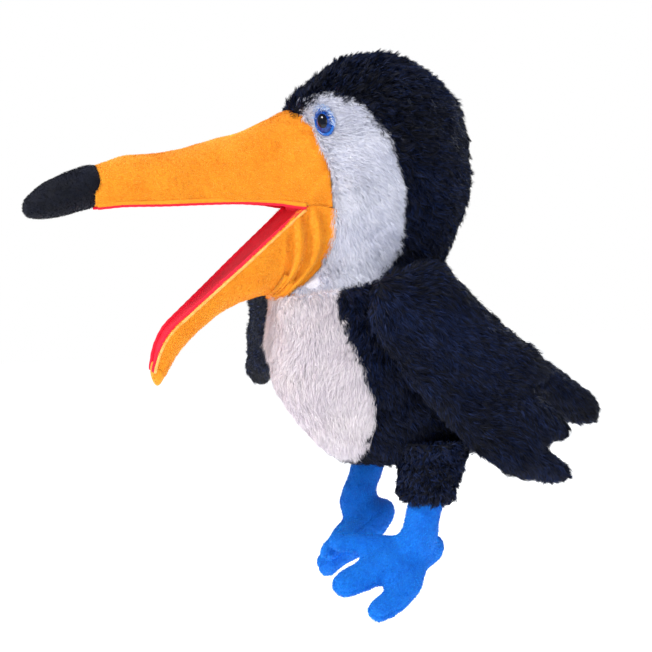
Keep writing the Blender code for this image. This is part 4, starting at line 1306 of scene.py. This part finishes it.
wings = {}
for side, tag in ((1, "left"), (-1, "right")):
    M = wing_matrix(side)

    def place(r, z, h, s=side, M=M):
        bow = 4.0 * math.sin(max(0.0, min(1.0, r / 140.0)) * math.pi)
        return M @ Vector((s * (7.0 + h + bow - 3.0) * MM, r * MM, z * MM))

    wing = pad_mesh("wing_plush_" + tag, WING, 12.0, place, edge=14.0, step=3.0)
    inflate(wing, voxel=0.0036, pressure=2.2, cap=0.003)
    relax(wing, 3)
    subdivide(wing, 1)
    add_mat(wing, BLACK_BASE)
    R3 = M.to_3x3()
    comb_v = np.array(R3 @ Vector((0.0, 0.78, -0.62)))
    outn = np.array(R3 @ Vector((side, 0, 0)))
    pile = fur("wing_pile_" + tag, wing, 66000, 0.0080, 0.00058, lambda P, c=comb_v: c + 0 * P, lift=0.26, clump=0.65,
               clump_size=0.005, curl=0.22, mats=black_and_highlight_mats, seed=80 + side, bend=0.28)
    root = M @ Vector((0, -0.004, 0))
    for o in (wing, pile):
        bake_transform(o)
    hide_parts("wing_outer_" + tag, "wing_lining_" + tag)
    wings[tag] = wing

# ------------------------------------------------------------------ tail
TAIL = (
    (-4, 22), (22, 29), (42, 31.5), (57, 29), (65, 20), (60, 10), (68, 0), (60, -10), (65, -20),
    (57, -29), (42, -31.5), (22, -29), (-4, -22),
)
MT = Matrix.Translation(Vector(W((0, 172.0, -41.0)))) @ Matrix.Rotation(math.radians(-36), 4, "X")


def tail_place(r, x, h):
    return MT @ Vector((x * MM, r * MM, (h - 0.0006 * r * r + 1.5) * MM))


tail = pad_mesh("tail_plush", TAIL, 15.0, tail_place, edge=13.0, step=3.0)
inflate(tail, voxel=0.0036, pressure=2.4, cap=0.003)
relax(tail, 3)
subdivide(tail, 1)
add_mat(tail, BLACK_BASE)
cv = np.array(MT.to_3x3() @ Vector((0, 1, -0.12)))
tail_pile = fur("tail_pile", tail, 30000, 0.0080, 0.0006, lambda P: cv + 0 * P, lift=0.30, clump=0.7, clump_size=0.005,
                curl=0.22, mats=black_and_highlight_mats, seed=90, bend=0.28)
for o in (tail, tail_pile):
    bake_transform(o)
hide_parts("tail_upper", "tail_under")

# ------------------------------------------------------------------ legs and feet
FOOT_R = {"left": (1, 40, 16, -112.0, -16.0), "right": (-1, 34, 34, -107.0, -18.0)}


def capsule_chain(bm, pts, radii, flat=(1, 1, 1), basis=None):
    for k in range(len(pts) - 1):
        p, q = np.array(pts[k]), np.array(pts[k + 1])
        steps = max(2, int(np.linalg.norm(q - p) / 2.5))
        for s in range(steps + 1):
            f = s / steps
            c, r = p * (1 - f) + q * f, radii[k] * (1 - f) + radii[k + 1] * f
            m = Matrix.Translation(Vector(c))
            if basis is not None:
                m = m @ basis
            m = m @ Matrix.Diagonal((r * flat[0], r * flat[1], r * flat[2], 1))
            bmesh.ops.create_uvsphere(bm, u_segments=14, v_segments=9, radius=1.0, matrix=m)


for tag, (side, roll, pitch, hip_z, tilt) in FOOT_R.items():
    ro, pi_ = math.radians(roll), math.radians(pitch)
    fwd = Vector((0, -math.cos(pi_), -math.sin(pi_)))
    out = Vector((side * math.cos(ro), 0.10, -math.sin(ro)))
    out = (out - fwd * out.dot(fwd)).normalized()
    up = fwd.cross(out) if side > 0 else out.cross(fwd)
    tl = math.radians(tilt)
    down = 37.0
    hip = np.array((side * 45.0, 60.0, hip_z))
    ankle = np.array((side * 45.0, 60.0 - down * math.sin(-tl), hip_z - down * math.cos(tl)))
    leg_dir = unit(ankle - hip)

    def F(x, y, h, o=out, f=fwd, n=up, A=ankle):
        q = o * x + f * (y + 2.0) + n * (h - 17.0)
        return W(A + np.array(q))

    basis = Matrix((tuple(out), tuple(fwd), tuple(up))).transposed().to_4x4()
    bm = bmesh.new()
    fl = (1.0, 1.0, 0.78)
    # heel and instep, then three toes
    capsule_chain(bm, [F(2, -12, 0), F(2, 2, 0), F(3, 20, 0)], [0.0140, 0.0175, 0.0170], fl, basis)
    cut = 0.0 if side > 0 else 14.0
    capsule_chain(bm, [F(1, 16, 0), F(1, 38 - cut / 2, -1), F(1, 57 - cut, -2)], [0.0150, 0.0130, 0.0112], fl, basis)
    capsule_chain(bm, [F(8, 4, 0), F(22, 18, 0), F(29, 32, -1), F(31, 46 - cut / 2, -2)], [0.0140, 0.0130, 0.0112, 0.0096], fl, basis)
    capsule_chain(bm, [F(-6, 12, 0), F(-19, 27, 1), F(-30, 44, 2)], [0.0120, 0.0100, 0.0088], fl, basis)
    top = hip + leg_dir * (0.0 if side > 0 else -4.0)
    knee = hip + leg_dir * 26.0
    capsule_chain(bm, [W(top), W(knee), W(ankle + np.array((0, 2.0, 0)))], [0.0132, 0.0130, 0.0128])
    capsule_chain(bm, [W(ankle), F(0, -2, 2)], [0.0130, 0.0145])
    me = bpy.data.meshes.new("foot_velboa_" + tag)
    bm.to_mesh(me)
    bm.free()
    foot = bpy.data.objects.new("foot_velboa_" + tag, me)
    bpy.context.scene.collection.objects.link(foot)
    remesh(foot, 0.0016)
    relax(foot, 14, 0.6)
    inflate(foot, voxel=0.0030, pressure=3.0, cap=0.0035, stiff=8.0)
    relax(foot, 2)
    subdivide(foot, 1)
    co, vn = coords(foot), vert_normals(foot)
    # seam that runs round the edge of the foot, in the plane of the sole
    ctr = F(0, 15, 0)
    hgt = (co - ctr) @ np.array(up)
    away = np.linalg.norm((co - ctr), axis=1)
    on_foot = smoothstep(0.0, 0.006, -(co - W(ankle)) @ np.array((0, 0, 1.0)))
    groove = np.exp(-(hgt / 0.0011) ** 2) * on_foot
    co = co - vn * (groove * 0.0011)[:, None]
    co = co + vn * (fbm(co, 0.010, 3, 71) * 0.0006 + fbm(co, 0.03, 2, 72) * 0.0008)[:, None]
    set_coords(foot, co)
    add_mat(foot, BLUE)
    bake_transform(foot)
    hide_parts("shin_" + tag, "foot_upper_" + tag, "foot_sole_" + tag)
    fdir = np.array(fwd)
    fnap = nap("foot_nap_" + tag, foot, 34000, lambda P, f=fdir: f + np.array((0, 0, -0.8)) + 0 * P, BLUE_NAP, "blue_velboa", 207 + side)
    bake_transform(fnap)

    # curly plush cuff from the body down to its hem
    nu, nv = 56, 46
    th = np.linspace(0, 2 * np.pi, nu, endpoint=False)[:, None]
    kk = np.linspace(0, 1, nv)[None, :]
    topc = np.array((side * 42.0, 62.0, -80.0))
    botc = hip + leg_dir * (10.0 if side > 0 else -3.0)
    cen = topc * (1 - kk[..., None]) + botc * kk[..., None]
    rad = 27.0 * (1 - kk) ** 0.7 + 0 * th
    rad = np.interp(kk + 0 * th, (0, .3, .6, .85, 1), (27, 23, 20.5, 19.0, 17.0))
    P = np.stack((cen[..., 0] + rad * np.cos(th), cen[..., 1] + rad * np.sin(th) * 1.0, cen[..., 2] + 0 * th), -1)
    P = W(P)
    cc = W(cen)[0].mean(0)
    N = unit(P - W(cen))
    P = P + N * (fbm(P, 0.016, 3, 73) * 0.0022)[..., None]
    cuff = skin("leg_cuff_plush_" + tag, P, 0.004, wrap_u=True, out_point=cc)
    add_mat(cuff, BLACK_BASE)
    cpile = fur("leg_cuff_pile_" + tag, cuff, 15000, 0.0052, 0.00075, lambda P: np.array((0, 0, -1.0)) + 0 * P, lift=0.7,
                clump=0.85, clump_size=0.0045, curl=0.5, mats=black_and_highlight_mats, seed=95 + side, bend=0.6)
    for o in (cuff, cpile):
        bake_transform(o)
    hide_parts("leg_cuff_" + tag)


# ------------------------------------------------------------------ inside: sleeve, hem, pockets
def soften(cad, name, mat, amp, size, seed, levels=2, body=None, flat=None):
    """A sewn lining piece from its plain solid: finer mesh, soft wrinkles along the cloth."""
    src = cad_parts[cad]
    me = src.data.copy()
    ob = bpy.data.objects.new(name, me)
    bpy.context.scene.collection.objects.link(ob)
    bm = bmesh.new()
    bm.from_mesh(me)
    bmesh.ops.remove_doubles(bm, verts=bm.verts, dist=1e-5)
    for _ in range(levels):
        bmesh.ops.subdivide_edges(bm, edges=[e for e in bm.edges if e.calc_length() > 0.004], cuts=1, use_grid_fill=True)
    bmesh.ops.triangulate(bm, faces=[f for f in bm.faces if len(f.verts) > 4])
    bm.to_mesh(me)
    bm.free()
    me.shade_smooth()
    me.set_sharp_from_angle(angle=math.radians(60))
    co = coords(ob)
    off = np.stack([fbm(co, size, 3, seed + k) for k in range(3)], -1) * amp
    set_coords(ob, co + off)
    me.materials.clear()
    me.materials.append(mat)
    for p in me.polygons:
        p.material_index = 0
    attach(ob, body)
    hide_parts(cad)
    if flat:
        cloth_sheet(ob, flat)
    return ob



soften("arm_sleeve", "sleeve_cloth", LINING, 0.0006, 0.02, 101, body="torso", flat=0.30)
soften("neck_sleeve", "neck_cloth", LINING, 0.0003, 0.02, 104, body="neck", flat=0.28)
soften("palm_lining", "palm_cloth", LINING, 0.0005, 0.02, 107, body="head", flat=0.30)
soften("finger_pocket", "finger_pocket_cloth", LINING, 0.0003, 0.015, 110, body="head", flat=0.12)
soften("thumb_pocket", "thumb_pocket_cloth", LINING, 0.0003, 0.012, 113, body="jaw", flat=0.09)

# hem round the arm opening: a turned edge with a row of stitches
r8 = TORSO[-1]
cy, cz = (r8[0] + r8[2]) / 2, (r8[1] + r8[3]) / 2
bb = math.hypot(r8[0] - r8[2], r8[1] - r8[3]) / 2
ey, ez = (r8[0] - cy) / bb, (r8[1] - cz) / bb
ny, nz_ = (-ez, ey) if ey < 0 else (ez, -ey)
if nz_ > 0:
    ny, nz_ = -ny, -nz_
E1, E2, E3 = np.array((1.0, 0, 0)), np.array((0, ey, ez)), np.array((0, ny, nz_))
th = np.linspace(0, 2 * np.pi, 160, endpoint=False)
sec = []
for q in np.linspace(0, 2 * np.pi, 22, endpoint=False):
    sec.append((4.6 * math.cos(q), 3.2 * math.sin(q)))
rings = []
for t in th:
    pucker = 0.35 * math.sin(t * 46) + 0.5 * math.sin(t * 7 + 1)
    ring = []
    for (d, h) in sec:
        rr_w, rr_b = r8[4] - 5.0 + d + pucker * 0.5, bb - 5.0 + d + pucker * 0.5
        c3 = np.array((0, cy, cz)) + E1 * rr_w * math.sin(t) + E2 * rr_b * math.cos(t) + E3 * (3.0 + h + 0.2 * pucker)
        ring.append(c3)
    rings.append(ring)
R = W(np.array(rings))
nr, m = R.shape[:2]
faces = [(i * m + k, i * m + (k + 1) % m, ((i + 1) % nr) * m + (k + 1) % m, ((i + 1) % nr) * m + k) for i in range(nr) for k in range(m)]
hem = mesh_from("opening_hem_cloth", R.reshape(-1, 3), faces)
outward(hem)
add_mat(hem, LINING)
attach(hem, "torso")
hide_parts("opening_hem")
verts, faces = [], []
for k in range(84):
    t0, t1 = 2 * math.pi * k / 84, 2 * math.pi * (k + 0.62) / 84
    base = len(verts)
    for f in np.linspace(0, 1, 7):
        t = t0 + (t1 - t0) * f
        lift = 0.5 * math.sin(f * math.pi)
        for q in range(6):
            an = 2 * math.pi * q / 6
            d = -5.0 + 3.9 + 0.38 * math.cos(an) + 0.9
            h = 3.0 + 2.3 + lift + 0.38 * math.sin(an)
            c3 = np.array((0, cy, cz)) + E1 * (r8[4] + d - 0.2) * math.sin(t) + E2 * (bb + d - 0.2) * math.cos(t) + E3 * h
            verts.append(W(c3))
    for i in range(6):
        for q in range(6):
            a0, a1 = base + i * 6 + q, base + i * 6 + (q + 1) % 6
            faces.append((a0, a1, a1 + 6, a0 + 6))
    faces.append(tuple(base + q for q in range(6))[::-1])
    faces.append(tuple(base + 36 + q for q in range(6)))
st = mesh_from("opening_hem_stitches", verts, faces)
outward(st)
add_mat(st, THREAD_BLACK)
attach(st, "torso")

# hidden pieces that stay as they are get their own finish
board = weave_material("board_fibre", (0.36, 0.28, 0.18), (0.60, 0.50, 0.36), thread=900)
plastic, nt, b = principled("washer_moulded")
tc = node(nt, "ShaderNodeTexCoord")
nz = node(nt, "ShaderNodeTexNoise", Scale=400.0, Detail=4.0)
nt.links.new(tc.outputs["Object"], nz.inputs["Vector"])
rp = node(nt, "ShaderNodeValToRGB")
rp.color_ramp.elements[0].color = (0.62, 0.62, 0.60, 1)
rp.color_ramp.elements[1].color = (0.84, 0.84, 0.82, 1)
nt.links.new(nz.outputs["Fac"], rp.inputs["Fac"])
nt.links.new(rp.outputs["Color"], b.inputs["Base Color"])
rg = node(nt, "ShaderNodeMapRange")
rg.inputs["To Min"].default_value, rg.inputs["To Max"].default_value = 0.3, 0.5
nt.links.new(nz.outputs["Fac"], rg.inputs["Value"])
nt.links.new(rg.outputs[0], b.inputs["Roughness"])
for n_, m_ in (("upper_mouth_board", board), ("lower_mouth_board", board), ("eye_washer_left", plastic), ("eye_washer_right", plastic)):
    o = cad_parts[n_]
    for s_ in range(max(1, len(o.material_slots))):
        if not o.material_slots:
            o.data.materials.append(m_)
        o.material_slots[s_].material = m_

# ------------------------------------------------------------------ stage, light, camera
low = min(v[2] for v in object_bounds())
pale, nt, b = principled("studio_floor", Roughness=0.9)
b.inputs["Base Color"].default_value = (0.97, 0.97, 0.97, 1)
b.inputs["Emission Color"].default_value = (1, 1, 1, 1)
b.inputs["Emission Strength"].default_value = 0.62
b.inputs["Specular IOR Level"].default_value = 0.1
fl = mesh_from("floor", [(-3, -3, low - 0.16), (3, -3, low - 0.16), (3, 3, low - 0.16), (-3, 3, low - 0.16)], [(0, 1, 2, 3)], smooth=False)
add_mat(fl, pale)
fl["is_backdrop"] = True

world = bpy.data.worlds.new("studio")
bpy.context.scene.world = world
world.use_nodes = True
bg = world.node_tree.nodes["Background"]
bg.inputs["Color"].default_value = (1.0, 1.0, 1.0, 1)
bg.inputs["Strength"].default_value = 1.0
wt = world.node_tree
soft_bg = wt.nodes.new("ShaderNodeBackground")
soft_bg.inputs["Color"].default_value = (0.90, 0.94, 1.0, 1)
soft_bg.inputs["Strength"].default_value = 0.42
paths = wt.nodes.new("ShaderNodeLightPath")
choose = wt.nodes.new("ShaderNodeMixShader")
wt.links.new(paths.outputs["Is Camera Ray"], choose.inputs[0])
wt.links.new(soft_bg.outputs[0], choose.inputs[1])
wt.links.new(bg.outputs[0], choose.inputs[2])
wt.links.new(choose.outputs[0], wt.nodes["World Output"].inputs["Surface"])

AZ, EL, DIST = math.radians(27.0), math.radians(5.0), 1.0
back = np.array((math.cos(AZ) * math.cos(EL), -math.sin(AZ) * math.cos(EL), math.sin(EL)))
right = np.array((math.sin(AZ), math.cos(AZ), 0.0))
upv = np.cross(back, right)
target = W((0, 0, 0))


def area_light(name, offset, size, power, colour=(1, 1, 1)):
    L = bpy.data.lights.new(name, "AREA")
    L.shape = "DISK"
    L.size = size
    L.energy = power
    L.color = colour
    o = bpy.data.objects.new(name, L)
    bpy.context.scene.collection.objects.link(o)
    pos = target + back * offset[0] + right * offset[1] + np.array((0, 0, offset[2]))
    o.location = Vector(pos)
    o.rotation_euler = (Vector(target) - Vector(pos)).to_track_quat("-Z", "Y").to_euler()
    return o


area_light("key", (0.75, -1.25, 1.15), 0.55, 30.0, (1.0, 0.97, 0.93))
area_light("fill", (1.5, 0.5, 0.5), 1.0, 9.0, (0.90, 0.95, 1.0))
area_light("rim", (-0.7, 0.9, 1.1), 0.7, 16.0, (0.92, 0.96, 1.0))

cam = bpy.data.cameras.new("camera")
cam.sensor_width = 36.0
cam.lens = 36.0 / (652 * 0.00071 / DIST)
camo = bpy.data.objects.new("camera", cam)
bpy.context.scene.collection.objects.link(camo)
camo.location = Vector(target + back * DIST)
camo.rotation_euler = (Vector(target) - camo.location).to_track_quat("-Z", "Y").to_euler()
bpy.context.scene.camera = camo
bpy.context.scene.view_settings.view_transform = "Standard"

for row_ in SHEETS:
    print("SHEET", *row_)
